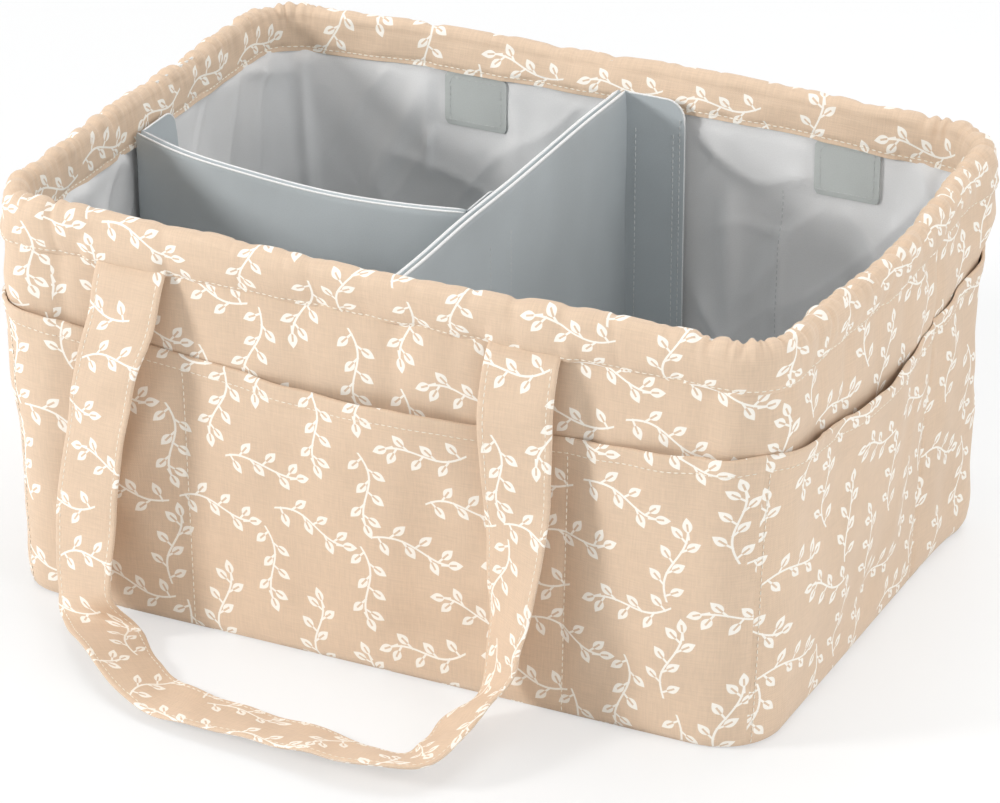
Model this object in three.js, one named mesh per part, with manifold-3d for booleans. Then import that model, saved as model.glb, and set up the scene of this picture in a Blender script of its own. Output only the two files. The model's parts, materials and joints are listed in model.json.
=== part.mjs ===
// Diaper caddy: a stiffened fabric basket with a gathered elastic rim, pockets all round,
// two strap handles and two lift-out dividers. Millimetres, +Z up, the front faces -Y.
// The origin is the middle of the underside.
import * as THREE from "three";
import { mergeVertices } from "three/addons/utils/BufferGeometryUtils.js";
import Module from "manifold-3d";

const wasm = await Module();
wasm.setup();

// Basket
const BASE_LENGTH = 360;
const BASE_DEPTH = 256;
const CORNER_RADIUS = 28;
const CORNER_STEPS = 6;
const RIM_HEIGHT = 195;
const END_WALL_LEAN = 6; // each short wall leans out this far between the floor and the hem

// Wall lay-up, from the outside in
const CLEARANCE = 0.3; // between pieces that touch
const COVER_THICKNESS = 1.2;
const BOARD_THICKNESS = 3;
const LINING_THICKNESS = 1;

// Gathered rim
const OUTER_HEM_DROP = 24; // crest down to the stitched edge outside
const INNER_HEM_DROP = 20; // crest down to the stitched edge inside
const WALL_TUCK = 5; // how far cover and lining reach up under the casing
const CASING_THICKNESS = 1;
const CASING_PUFF = 3; // how far the casing swells out past its hem
const GATHER_PITCH = 32;
const GATHER_DEPTH_LONG = 0.7; // on the long walls
const GATHER_DEPTH_SHORT = 1.5; // round the corners and on the short walls
const GATHER_CREST = 1; // how far the crest dips between two gathers
const CASING_SWELL = [[0, 0], [0.22, 0.55], [0.52, 1], [0.82, 0.62]]; // share of the height, of the puff
const RIM_STEP = 9;
const ELASTIC_WIDTH = 20;
const ELASTIC_THICKNESS = 1.5;

// Pockets
const POCKET_THICKNESS = 1.2;
const POCKET_TOP = 142; // at the corner seams
const POCKET_SAG = 11; // how far the mouth drops between the corner seams
const POCKET_GAPE = 8; // how far a mouth stands off the wall
const POCKET_FULLNESS = 0.6; // below 1 a pocket swells quickly away from its seams
const POCKET_CELL_STEPS = 8;
const POCKET_ROWS = [0, 0.25, 0.5, 0.75, 1];
const LONG_SEAMS = [-90, 90]; // from the middle of a long wall
const SHORT_SEAMS = [48]; // from the middle of a short wall

// Handles
const STRAP_WIDTH = 34;
const STRAP_THICKNESS = 2;
const STRAP_STEPS = 75;
const HANDLE_END_LEFT = -0.321 * BASE_LENGTH;
const HANDLE_END_RIGHT = 0.203 * BASE_LENGTH;
const HINGE_DROP = 3.5; // from the hem down to the fold where the strap hangs free
const HINGE_STANDOFF = 6; // from the wall out to that fold
const STRAP_REACH = 80; // from the wall out to the slack on the floor
const ANCHOR_WIDTH = 32;
const ANCHOR_HEIGHT = 27;
const ANCHOR_THICKNESS = 1;

// Dividers
const DIVIDER_BOARD_THICKNESS = 2.6;
const DIVIDER_COVER_THICKNESS = 0.8;
const DIVIDER_DROP = 12; // crest of the rim down to the dividers' top edge
const FLAP_WIDTH = 30;
const FLAP_THICKNESS = 1.6;
const FLAP_ROUND = 9;
const BOARD_END_MARGIN = 3; // seam allowance at each end of a divider board
const STRIP_THICKNESS = 1.6; // hook strip and loop strip alike
const STRIP_WIDTH = 22;
const STRIP_EDGE = 4; // from the flap's fold to its strip
const STRIP_BOTTOM = 30;
const STRIP_TOP_DROP = 18; // from a flap's top edge down to its strip
const CROSS_DIVIDER_X = 4;
const SHORT_DIVIDER_LEFT_Y = -17;
const SHORT_DIVIDER_RIGHT_Y = -32;
const SHORT_DIVIDER_BOW = 15;
const SHORT_DIVIDER_DROP = 3; // below the cross divider's top edge
const BOW_STEPS = 10;

// Places that follow from the sizes, as offsets in from the cover's outer face
const BOARD_OFFSET = COVER_THICKNESS + CLEARANCE;
const LINING_OFFSET = BOARD_OFFSET + BOARD_THICKNESS + CLEARANCE;
const LINING_FACE = LINING_OFFSET + LINING_THICKNESS;
const LOOP_OFFSET = LINING_FACE + CLEARANCE;
const HOOK_OFFSET = LOOP_OFFSET + STRIP_THICKNESS + CLEARANCE;
const FLAP_OFFSET = HOOK_OFFSET + STRIP_THICKNESS + CLEARANCE;

// Heights that follow from the sizes
const OUTER_HEM = RIM_HEIGHT - OUTER_HEM_DROP;
const INNER_HEM = RIM_HEIGHT - INNER_HEM_DROP;
const WALL_BOTTOM = COVER_THICKNESS + CLEARANCE;
const INNER_BOTTOM = WALL_BOTTOM + BOARD_THICKNESS + CLEARANCE;
const FLOOR_TOP = INNER_BOTTOM + LINING_THICKNESS;
const ELASTIC_TOP = RIM_HEIGHT - CASING_THICKNESS - GATHER_CREST - ELASTIC_THICKNESS - CLEARANCE;
const BOARD_TOP = ELASTIC_TOP - ELASTIC_WIDTH - CLEARANCE;
const DIVIDER_BOTTOM = FLOOR_TOP + CLEARANCE;
const CROSS_DIVIDER_TOP = RIM_HEIGHT - DIVIDER_DROP;
const SHORT_DIVIDER_TOP = CROSS_DIVIDER_TOP - SHORT_DIVIDER_DROP;
const HINGE_HEIGHT = OUTER_HEM - HINGE_DROP;

// Materials
const fabric = (color, roughness = 0.9) =>
  new THREE.MeshStandardMaterial({ color, roughness, metalness: 0 });
const PRINTED_COTTON = () => fabric("#dcc3a2", 0.92);
const GREY_LINING = () => fabric("#a8acac", 0.55);
const DIVIDER_CLOTH = () => fabric("#94a1a3", 0.5);
const FIBRE_BOARD = () => fabric("#cfc8b8", 0.85);
const ELASTIC_WEAVE = () => fabric("#f0ede6", 0.8);
const GRIP_TAPE = () => fabric("#dcdedc", 0.95);

const caddy = new THREE.Group();

function addPiece(name, geometry, material, parent = caddy) {
  const mesh = new THREE.Mesh(geometry, material);
  mesh.name = name;
  parent.add(mesh);
  return mesh;
}

// Basket outline: a rounded rectangle whose short walls lean out. A place on it is the distance
// travelled from the left end of the straight front, going round by the right.
const STRAIGHT = [BASE_LENGTH - 2 * CORNER_RADIUS, BASE_DEPTH - 2 * CORNER_RADIUS];
const ARC = (CORNER_RADIUS * Math.PI) / 2;
const CORNERS = [[-1, -1], [1, -1], [1, 1], [-1, 1]];

const leanAt = (height) => (END_WALL_LEAN * height) / OUTER_HEM;
const straightOf = (side) => STRAIGHT[side % 2];

function sideStart(side) {
  let distance = 0;
  for (let before = 0; before < side; before += 1) distance += straightOf(before) + ARC;
  return distance;
}

const PERIMETER = sideStart(4);

function wallPoint(distance, offset, height) {
  let rest = ((distance % PERIMETER) + PERIMETER) % PERIMETER;
  let side = 0;
  while (side < 3 && rest >= straightOf(side) + ARC) {
    rest -= straightOf(side) + ARC;
    side += 1;
  }
  const along = Math.min(rest / straightOf(side), 1);
  const turn = Math.max(rest - straightOf(side), 0) / CORNER_RADIUS;
  const angle = ((side - 1) * Math.PI) / 2 + turn;
  const [startX, startY] = CORNERS[side];
  const [endX, endY] = CORNERS[(side + 1) % 4];
  const centreX = THREE.MathUtils.lerp(startX, endX, along) * (STRAIGHT[0] / 2 + leanAt(height));
  const centreY = THREE.MathUtils.lerp(startY, endY, along) * (STRAIGHT[1] / 2);
  const radius = CORNER_RADIUS - offset;
  return new THREE.Vector3(
    centreX + radius * Math.cos(angle),
    centreY + radius * Math.sin(angle),
    height,
  );
}

// Places along one side and the corner arc after it, no further apart than a step on the straight.
function sideStations(side, step) {
  const start = sideStart(side);
  const count = Math.max(1, Math.ceil(straightOf(side) / step));
  const places = [];
  for (let i = 0; i < count; i += 1) places.push(start + (straightOf(side) * i) / count);
  for (let i = 0; i < CORNER_STEPS; i += 1) {
    places.push(start + straightOf(side) + (ARC * i) / CORNER_STEPS);
  }
  return places;
}

const outlineStations = (step = Infinity) => [0, 1, 2, 3].flatMap((side) => sideStations(side, step));

// Closed solids made of a row of matching section loops
function signedVolume(points, triangles) {
  let six = 0;
  for (const [a, b, c] of triangles) {
    six += points[a].dot(new THREE.Vector3().crossVectors(points[b], points[c]));
  }
  return six / 6;
}

function solidFrom(points, triangles) {
  const outward = signedVolume(points, triangles) > 0;
  const geometry = new THREE.BufferGeometry();
  const index = triangles.flatMap(([a, b, c]) => (outward ? [a, b, c] : [a, c, b]));
  geometry.setFromPoints(points);
  geometry.setIndex(index);
  geometry.computeVertexNormals();
  return geometry;
}

function loftSections(sections, flatSection = null) {
  const size = sections[0].length;
  const points = sections.flat();
  const triangles = [];
  const closed = flatSection === null;
  const lastRow = closed ? sections.length : sections.length - 1;
  for (let row = 0; row < lastRow; row += 1) {
    const next = (row + 1) % sections.length;
    for (let i = 0; i < size; i += 1) {
      const j = (i + 1) % size;
      triangles.push([row * size + i, next * size + i, next * size + j]);
      triangles.push([row * size + i, next * size + j, row * size + j]);
    }
  }
  if (!closed) {
    const end = (sections.length - 1) * size;
    for (const [a, b, c] of THREE.ShapeUtils.triangulateShape(flatSection, [])) {
      triangles.push(THREE.ShapeUtils.isClockWise(flatSection) ? [a, c, b] : [a, b, c]);
      triangles.push(THREE.ShapeUtils.isClockWise(flatSection)
        ? [end + a, end + b, end + c]
        : [end + a, end + c, end + b]);
    }
  }
  return solidFrom(points, triangles);
}

// A band round the basket, from a section given as offsets in from the wall and heights
const bandRound = (sectionAt, step = Infinity) =>
  loftSections(outlineStations(step).map((distance) =>
    sectionAt(distance).map(([offset, height]) => wallPoint(distance, offset, height))));

const boxSection = (offset, thickness, bottom, top) => [
  [offset, bottom],
  [offset, top],
  [offset + thickness, top],
  [offset + thickness, bottom],
];

// A level panel that follows the outline at an offset
function floorPanel(offset, bottom, thickness) {
  const outline = outlineStations().map((distance) => wallPoint(distance, offset, bottom));
  const shape = new THREE.Shape(outline.map(({ x, y }) => new THREE.Vector2(x, y)));
  const geometry = new THREE.ExtrudeGeometry(shape, { depth: thickness, bevelEnabled: false });
  return geometry.translate(0, 0, bottom);
}

// Boolean joins and cuts
function asManifold(geometry) {
  const bare = geometry.clone();
  bare.deleteAttribute("normal");
  bare.deleteAttribute("uv");
  const merged = mergeVertices(bare, 1e-4);
  return new wasm.Manifold(new wasm.Mesh({
    numProp: 3,
    vertProperties: merged.attributes.position.array,
    triVerts: new Uint32Array(merged.index.array),
  }));
}

function asGeometry(manifold) {
  const mesh = manifold.getMesh();
  const geometry = new THREE.BufferGeometry();
  geometry.setAttribute("position", new THREE.BufferAttribute(mesh.vertProperties, 3));
  geometry.setIndex(new THREE.BufferAttribute(mesh.triVerts, 1));
  geometry.computeVertexNormals();
  return geometry;
}

function block(low, high) {
  const size = high.map((value, axis) => value - low[axis]);
  const centre = high.map((value, axis) => (value + low[axis]) / 2);
  return new THREE.BoxGeometry(...size).translate(...centre);
}

// Shell of the basket
function addShell() {
  addPiece("outer_cover", bandRound(() =>
    boxSection(0, COVER_THICKNESS, WALL_BOTTOM, OUTER_HEM + WALL_TUCK)), PRINTED_COTTON());
  addPiece("base_cover", floorPanel(0, 0, COVER_THICKNESS), PRINTED_COTTON());
  addPiece("base_board", floorPanel(BOARD_OFFSET, WALL_BOTTOM, BOARD_THICKNESS), FIBRE_BOARD());
  addPiece("lining_walls", bandRound(() =>
    boxSection(LINING_OFFSET, LINING_THICKNESS, INNER_BOTTOM, INNER_HEM + WALL_TUCK)), GREY_LINING());
  addPiece("lining_floor",
    floorPanel(LINING_FACE + CLEARANCE, INNER_BOTTOM, LINING_THICKNESS), GREY_LINING());
}

// One flat stiffener along the straight part of each wall
function addWallBoards() {
  ["front_board", "right_board", "back_board", "left_board"].forEach((name, side) => {
    const section = boxSection(BOARD_OFFSET, BOARD_THICKNESS, INNER_BOTTOM, BOARD_TOP);
    const ends = [sideStart(side), sideStart(side) + straightOf(side)];
    const sections = ends.map((distance) =>
      section.map(([offset, height]) => wallPoint(distance, offset, height)));
    const flat = section.map(([offset, height]) => new THREE.Vector2(offset, height));
    addPiece(name, loftSections(sections, flat), FIBRE_BOARD());
  });
}

// Gathered casing that folds over the top edge and hides the elastic
const onLongStraight = (distance) => {
  const lap = distance % (PERIMETER / 2);
  return lap > 0 && lap < STRAIGHT[0];
};

function casingSection(distance) {
  const gathers = Math.round(PERIMETER / GATHER_PITCH);
  const wave = Math.cos((2 * Math.PI * gathers * distance) / PERIMETER);
  const depth = onLongStraight(distance) ? GATHER_DEPTH_LONG : GATHER_DEPTH_SHORT;
  const puff = CASING_PUFF + depth * wave;
  const crest = RIM_HEIGHT - (GATHER_CREST * (1 - wave)) / 2;
  const outside = -(CLEARANCE + CASING_THICKNESS);
  const inside = LINING_FACE + CLEARANCE + CASING_THICKNESS;
  const middle = (outside + inside) / 2;
  const shoulder = crest - INNER_HEM_DROP / 4;
  const swell = CASING_SWELL.map(([rise, share]) =>
    [outside - share * puff, THREE.MathUtils.lerp(OUTER_HEM, crest, rise), 1, 0]);
  // Each point of the outer skin, with the way in and down to the inner skin
  const skin = [
    ...swell,
    [middle, crest, 0, 1],
    [inside - CASING_THICKNESS, shoulder, -1, 0.5],
    [inside, INNER_HEM + WALL_TUCK + CLEARANCE, -1, 0],
    [inside, INNER_HEM, -1, 0],
  ];
  const outer = skin.map(([offset, height]) => [offset, height]);
  const inner = skin.map(([offset, height, inward, downward]) =>
    [offset + inward * CASING_THICKNESS, height - downward * CASING_THICKNESS]);
  return [...outer, ...inner.reverse()];
}

function addRim() {
  addPiece("rim_casing", bandRound(casingSection, RIM_STEP), PRINTED_COTTON());
  const offset = BOARD_OFFSET + (BOARD_THICKNESS - ELASTIC_THICKNESS) / 2;
  addPiece("rim_elastic", bandRound(() =>
    boxSection(offset, ELASTIC_THICKNESS, ELASTIC_TOP - ELASTIC_WIDTH, ELASTIC_TOP)), ELASTIC_WEAVE());
}

// Pocket panels: one for each wall, sewn to it at the bottom, at the corners and at the seams
function pocketStations(side, seams) {
  const start = sideStart(side);
  const middle = start + straightOf(side) / 2;
  const cornerStep = ARC / CORNER_STEPS;
  const half = CORNER_STEPS / 2;
  const places = [];
  for (let i = half; i > 0; i -= 1) places.push(start - cornerStep * i);
  const bounds = [start, ...seams.map((seam) => middle + seam), start + straightOf(side)];
  bounds.slice(1).forEach((bound, cell) => {
    for (let i = 0; i < POCKET_CELL_STEPS; i += 1) {
      places.push(THREE.MathUtils.lerp(bounds[cell], bound, i / POCKET_CELL_STEPS));
    }
  });
  for (let i = 0; i <= half; i += 1) places.push(start + straightOf(side) + cornerStep * i);
  places[0] += CLEARANCE / 2;
  places[places.length - 1] -= CLEARANCE / 2;
  return places;
}

function pocketPanel(side, seams) {
  const places = pocketStations(side, seams);
  const first = places[0];
  const last = places[places.length - 1];
  const middle = sideStart(side) + straightOf(side) / 2;
  const bounds = [first, ...seams.map((seam) => middle + seam), last];
  const sections = places.map((distance) => {
    const cell = Math.max(1, bounds.findIndex((bound) => distance <= bound));
    const share = (distance - bounds[cell - 1]) / (bounds[cell] - bounds[cell - 1]);
    const bulge = POCKET_GAPE * Math.max(0, Math.sin(Math.PI * share)) ** POCKET_FULLNESS;
    const sag = POCKET_SAG * Math.sin((Math.PI * (distance - first)) / (last - first));
    const rows = POCKET_ROWS.map((row) => [
      -(CLEARANCE + bulge * row ** POCKET_FULLNESS),
      THREE.MathUtils.lerp(WALL_BOTTOM, POCKET_TOP - sag, row),
    ]);
    const outer = rows.map(([offset, height]) => [offset - POCKET_THICKNESS, height]);
    return [...outer, ...rows.reverse()].map(([offset, height]) => wallPoint(distance, offset, height));
  });
  const flat = [...POCKET_ROWS.map((row) => [0, row]), ...POCKET_ROWS.toReversed().map((row) => [1, row])];
  return loftSections(sections, flat.map(([x, y]) => new THREE.Vector2(x, y)));
}

function addPockets() {
  ["front_pocket", "right_pocket", "back_pocket", "left_pocket"].forEach((name, side) => {
    addPiece(name, pocketPanel(side, side % 2 ? SHORT_SEAMS : LONG_SEAMS), PRINTED_COTTON());
  });
}

// Strap handle: it hangs from two folds under the hem and its slack lies on the floor in front,
// on its inner edge, with the outer edge a little raised. A point is the share of the way from
// the left end to the right one, of the reach out from the wall and of the folds' height, then
// the way from the inner to the outer edge: its heading in plan from +X and its tilt up, in degrees.
const STRAP_ROUTE = [
  [0, HINGE_STANDOFF / STRAP_REACH, 1, 180, 0],
  [-0.0069, 0.15, 0.89, 177, 0],
  [-0.0398, 0.2, 0.757, 170, 0],
  [-0.0769, 0.225, 0.503, 167, -1],
  [-0.0954, 0.2625, 0.286, 171, -4],
  [-0.0875, 0.3125, 0.0955, 164, -14],
  [-0.0557, 0.3563, 0.0388, 198, 0],
  [0.0042, 0.5312, 0.0418, 228, 16],
  [0.0949, 0.7288, 0.0406, 245, 17],
  [0.1739, 0.8275, 0.0263, 257, 9],
  [0.2873, 0.88, 0.0197, 263, 5.5],
  [0.4455, 0.9225, 0.0275, 265, 10.5],
  [0.5759, 0.95, 0.031, 265, 12.6],
  [0.6713, 0.975, 0.0358, 265, 15],
  [0.7827, 1.0088, 0.0418, 270, 19],
  [0.9072, 0.9338, 0.0418, 305, 19],
  [0.9364, 0.71, 0.0573, 335, 28],
  [0.9417, 0.4813, 0.0746, 345, 35],
  [0.9761, 0.3, 0.1075, 322, 36],
  [0.9905, 0.2375, 0.249, 318, 8],
  [1, 0.2, 0.384, 330, 0],
  [1.0074, 0.1938, 0.557, 346, 0],
  [1.0069, 0.1875, 0.729, 358, 0],
  [1, 0.1625, 0.872, 366, 0],
  [1, HINGE_STANDOFF / STRAP_REACH, 1, 360, 0],
];

function strapSolid() {
  const wall = -BASE_DEPTH / 2;
  const route = STRAP_ROUTE.map(([along, out, height]) => new THREE.Vector3(
    THREE.MathUtils.lerp(HANDLE_END_LEFT, HANDLE_END_RIGHT, along),
    wall - out * STRAP_REACH, height * HINGE_HEIGHT));
  const curve = new THREE.CatmullRomCurve3(route, false, "centripetal");
  const corners = [[-1, -1], [1, -1], [1, 1], [-1, 1]];
  const sections = [];
  for (let i = 0; i <= STRAP_STEPS; i += 1) {
    const along = i / STRAP_STEPS;
    const place = along * (STRAP_ROUTE.length - 1);
    const before = Math.min(Math.floor(place), STRAP_ROUTE.length - 2);
    const [heading, tilt] = [3, 4].map((column) => THREE.MathUtils.degToRad(THREE.MathUtils.lerp(
      STRAP_ROUTE[before][column], STRAP_ROUTE[before + 1][column], place - before)));
    const across = new THREE.Vector3(
      Math.cos(heading) * Math.cos(tilt), Math.sin(heading) * Math.cos(tilt), Math.sin(tilt));
    const face = new THREE.Vector3().crossVectors(across, curve.getTangent(along)).normalize();
    sections.push(corners.map(([side, skin]) => curve.getPoint(along)
      .addScaledVector(across, (side * STRAP_WIDTH) / 2)
      .addScaledVector(face, (skin * STRAP_THICKNESS) / 2)));
  }
  return loftSections(sections, corners.map(([x, y]) => new THREE.Vector2(x, y)));
}

// Sewn strap end: from under the hem out to the fold
function strapEnd(x) {
  const wall = -BASE_DEPTH / 2;
  const fold = HINGE_STANDOFF - STRAP_THICKNESS / 2 - CLEARANCE;
  const section = [
    [CLEARANCE, HINGE_HEIGHT - 2 * STRAP_THICKNESS],
    [fold, HINGE_HEIGHT - STRAP_THICKNESS / 2],
    [fold, HINGE_HEIGHT + STRAP_THICKNESS / 2],
    [CLEARANCE, OUTER_HEM - CLEARANCE],
  ];
  const sections = [-1, 1].map((side) => section.map(([out, height]) =>
    new THREE.Vector3(x + (side * STRAP_WIDTH) / 2, wall - out, height)));
  return loftSections(sections, section.map(([out, height]) => new THREE.Vector2(out, height)));
}

// Patch on the lining that spreads the pull of one strap end
function anchorPatch(x) {
  const face = -(BASE_DEPTH / 2 - LOOP_OFFSET);
  const top = INNER_HEM - CLEARANCE;
  return block(
    [x - ANCHOR_WIDTH / 2, face, top - ANCHOR_HEIGHT],
    [x + ANCHOR_WIDTH / 2, face + ANCHOR_THICKNESS, top],
  );
}

// The two long walls carry the same set, turned half round about the middle
function addHandles() {
  ["front", "back"].forEach((wall, turned) => {
    const set = new THREE.Group();
    set.rotation.z = turned * Math.PI;
    caddy.add(set);
    addPiece(`${wall}_handle`, strapSolid(), PRINTED_COTTON(), set);
    const ends = { left: HANDLE_END_LEFT, right: HANDLE_END_RIGHT };
    for (const [hand, x] of Object.entries(ends)) {
      const seen = turned ? { left: "right", right: "left" }[hand] : hand;
      addPiece(`${wall}_handle_${seen}_end`, strapEnd(x), PRINTED_COTTON(), set);
      addPiece(`${wall}_${seen}_anchor_patch`, anchorPatch(x), DIVIDER_CLOTH(), set);
    }
  });
}

// Dividers: a board in a cloth sleeve that is open below, with a gripping flap at each end
const DIVIDER_THICKNESS = DIVIDER_BOARD_THICKNESS + 2 * (CLEARANCE + DIVIDER_COVER_THICKNESS);

// Upright flap along one axis, with its free upper corner rounded
function flapSolid(width, bottom, top) {
  const shape = new THREE.Shape();
  shape.moveTo(0, bottom);
  shape.lineTo(width, bottom);
  shape.lineTo(width, top - FLAP_ROUND);
  shape.absarc(width - FLAP_ROUND, top - FLAP_ROUND, FLAP_ROUND, 0, Math.PI / 2);
  shape.lineTo(0, top);
  const settings = { depth: FLAP_THICKNESS, bevelEnabled: false, curveSegments: 4 };
  return new THREE.ExtrudeGeometry(shape, settings).rotateX(Math.PI / 2);
}

function uprightSheet(path, thickness, bottom, top) {
  const edge = (sign) => path.map((point, i) => {
    const from = path[Math.max(0, i - 1)];
    const to = path[Math.min(path.length - 1, i + 1)];
    const along = to.clone().sub(from).normalize();
    return new THREE.Vector2(-along.y, along.x).multiplyScalar((sign * thickness) / 2).add(point);
  });
  const shape = new THREE.Shape([...edge(-1), ...edge(1).reverse()]);
  const geometry = new THREE.ExtrudeGeometry(shape, { depth: top - bottom, bevelEnabled: false });
  return geometry.translate(0, 0, bottom);
}

function addCrossDivider() {
  const x = CROSS_DIVIDER_X;
  const flapFace = BASE_DEPTH / 2 - FLAP_OFFSET;
  const reach = flapFace - FLAP_THICKNESS / 2;
  const boardReach = flapFace - FLAP_THICKNESS - BOARD_END_MARGIN;
  const boardTop = CROSS_DIVIDER_TOP - DIVIDER_COVER_THICKNESS - CLEARANCE;
  const run = (half) => [new THREE.Vector2(x, -half), new THREE.Vector2(x, half)];
  const flap = () => flapSolid(FLAP_WIDTH + DIVIDER_THICKNESS / 2, DIVIDER_BOTTOM, CROSS_DIVIDER_TOP);
  const sleeve = asManifold(uprightSheet(run(reach), DIVIDER_THICKNESS, DIVIDER_BOTTOM, CROSS_DIVIDER_TOP))
    .add(asManifold(flap().translate(x, flapFace, 0)))
    .add(asManifold(flap().translate(x, -flapFace + FLAP_THICKNESS, 0)))
    .subtract(asManifold(uprightSheet(
      run(boardReach + CLEARANCE), DIVIDER_BOARD_THICKNESS + 2 * CLEARANCE,
      DIVIDER_BOTTOM - CLEARANCE, boardTop + CLEARANCE)));
  addPiece("cross_divider_cover", asGeometry(sleeve), DIVIDER_CLOTH());
  addPiece("cross_divider_board", uprightSheet(
    run(boardReach), DIVIDER_BOARD_THICKNESS, DIVIDER_BOTTOM, boardTop), FIBRE_BOARD());

  const stripX = x + DIVIDER_THICKNESS / 2 + STRIP_EDGE;
  const stripTop = CROSS_DIVIDER_TOP - STRIP_TOP_DROP;
  const strips = { front: -1, back: 1 };
  for (const [wall, sign] of Object.entries(strips)) {
    const strip = (offset) => {
      const faces = [offset, offset + STRIP_THICKNESS].map((inset) => sign * (BASE_DEPTH / 2 - inset));
      return block(
        [stripX, Math.min(...faces), STRIP_BOTTOM],
        [stripX + STRIP_WIDTH, Math.max(...faces), stripTop],
      );
    };
    addPiece(`${wall}_loop_strip`, strip(LOOP_OFFSET), GRIP_TAPE());
    addPiece(`cross_divider_${wall}_hook_strip`, strip(HOOK_OFFSET), GRIP_TAPE());
  }
}

// The short divider runs from the left wall to the cross divider and leans out with that wall
function leanOut(geometry, leftX, rightX) {
  const place = geometry.attributes.position;
  for (let i = 0; i < place.count; i += 1) {
    const share = THREE.MathUtils.clamp((rightX - place.getX(i)) / (rightX - leftX), 0, 1);
    place.setX(i, place.getX(i) - share * leanAt(place.getZ(i)));
  }
  geometry.computeVertexNormals();
  return geometry;
}

function addShortDivider() {
  const half = BASE_LENGTH / 2;
  const leftFace = -(half - FLAP_OFFSET);
  const crossFace = CROSS_DIVIDER_X - DIVIDER_THICKNESS / 2;
  const loopFace = crossFace - CLEARANCE - STRIP_THICKNESS;
  const hookFace = loopFace - CLEARANCE - STRIP_THICKNESS;
  const rightFace = hookFace - CLEARANCE;
  const leftY = SHORT_DIVIDER_LEFT_Y;
  const rightY = SHORT_DIVIDER_RIGHT_Y;
  const top = SHORT_DIVIDER_TOP;

  const start = new THREE.Vector2(leftFace + FLAP_THICKNESS / 2, leftY);
  const end = new THREE.Vector2(rightFace - FLAP_THICKNESS / 2, rightY);
  const pull = new THREE.Vector2((start.x + end.x) / 2, (leftY + rightY) / 2 - 2 * SHORT_DIVIDER_BOW);
  const bow = new THREE.QuadraticBezierCurve(start, pull, end);
  const length = bow.getLength();
  const run = (margin) => {
    const path = [];
    for (let i = 0; i <= BOW_STEPS; i += 1) {
      path.push(bow.getPointAt(THREE.MathUtils.lerp(margin, length - margin, i / BOW_STEPS) / length));
    }
    return path;
  };
  const flap = () => flapSolid(FLAP_WIDTH + DIVIDER_THICKNESS / 2, DIVIDER_BOTTOM, top)
    .rotateZ(Math.PI / 2);
  const margin = FLAP_THICKNESS + BOARD_END_MARGIN;
  const boardTop = top - DIVIDER_COVER_THICKNESS - CLEARANCE;
  const sleeve = asManifold(uprightSheet(run(0), DIVIDER_THICKNESS, DIVIDER_BOTTOM, top))
    .add(asManifold(flap().translate(leftFace, leftY, 0)))
    .add(asManifold(flap().translate(rightFace - FLAP_THICKNESS, rightY, 0)))
    .subtract(asManifold(uprightSheet(
      run(margin - CLEARANCE), DIVIDER_BOARD_THICKNESS + 2 * CLEARANCE,
      DIVIDER_BOTTOM - CLEARANCE, boardTop + CLEARANCE)));
  const leaned = (geometry) => leanOut(geometry, leftFace, rightFace);
  addPiece("short_divider_cover", leaned(asGeometry(sleeve)), DIVIDER_CLOTH());
  addPiece("short_divider_board", leaned(uprightSheet(
    run(margin), DIVIDER_BOARD_THICKNESS, DIVIDER_BOTTOM, boardTop)), FIBRE_BOARD());

  const strip = (x, y) => block(
    [x, y + STRIP_EDGE, STRIP_BOTTOM],
    [x + STRIP_THICKNESS, y + STRIP_EDGE + STRIP_WIDTH, top - STRIP_TOP_DROP],
  );
  addPiece("left_loop_strip", leaned(strip(-(half - LOOP_OFFSET), leftY)), GRIP_TAPE());
  addPiece("short_divider_left_hook_strip", leaned(strip(-(half - HOOK_OFFSET), leftY)), GRIP_TAPE());
  addPiece("cross_divider_loop_strip", strip(loopFace, rightY), GRIP_TAPE());
  addPiece("short_divider_right_hook_strip", strip(hookFace, rightY), GRIP_TAPE());
}

addShell();
addWallBoards();
addRim();
addPockets();
addHandles();
addCrossDivider();
addShortDivider();

export default caddy;
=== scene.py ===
import json
import math

import bpy
import numpy as np
from bpy.props import FloatProperty, FloatVectorProperty, IntProperty, PointerProperty
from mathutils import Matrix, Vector


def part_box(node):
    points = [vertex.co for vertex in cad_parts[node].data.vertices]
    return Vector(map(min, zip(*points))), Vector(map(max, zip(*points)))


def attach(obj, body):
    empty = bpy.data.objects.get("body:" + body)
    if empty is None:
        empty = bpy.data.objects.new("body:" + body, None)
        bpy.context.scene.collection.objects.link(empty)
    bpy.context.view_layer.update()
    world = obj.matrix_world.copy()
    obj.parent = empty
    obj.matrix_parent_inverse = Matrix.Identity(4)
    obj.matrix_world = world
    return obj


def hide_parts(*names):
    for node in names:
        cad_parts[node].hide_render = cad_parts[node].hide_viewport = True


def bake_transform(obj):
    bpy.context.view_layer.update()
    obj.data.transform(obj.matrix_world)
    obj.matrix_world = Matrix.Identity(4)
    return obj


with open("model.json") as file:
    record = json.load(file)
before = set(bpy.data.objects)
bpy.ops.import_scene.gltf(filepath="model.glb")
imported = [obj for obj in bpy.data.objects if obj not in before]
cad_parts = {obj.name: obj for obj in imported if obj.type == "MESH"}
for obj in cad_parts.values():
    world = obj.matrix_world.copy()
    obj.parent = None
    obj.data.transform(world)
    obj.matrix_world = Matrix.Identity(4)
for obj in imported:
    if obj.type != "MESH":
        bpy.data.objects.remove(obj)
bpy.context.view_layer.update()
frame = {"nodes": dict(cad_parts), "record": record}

bl_info = {
    "name": "Diaper caddy",
    "version": (1, 0, 0),
    "blender": (4, 5, 0),
    "location": "View3D > Sidebar > Caddy",
    "description": "Fabric pieces, stitching and finishes of a diaper caddy on its packed frame",
    "category": "Object",
}

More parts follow.
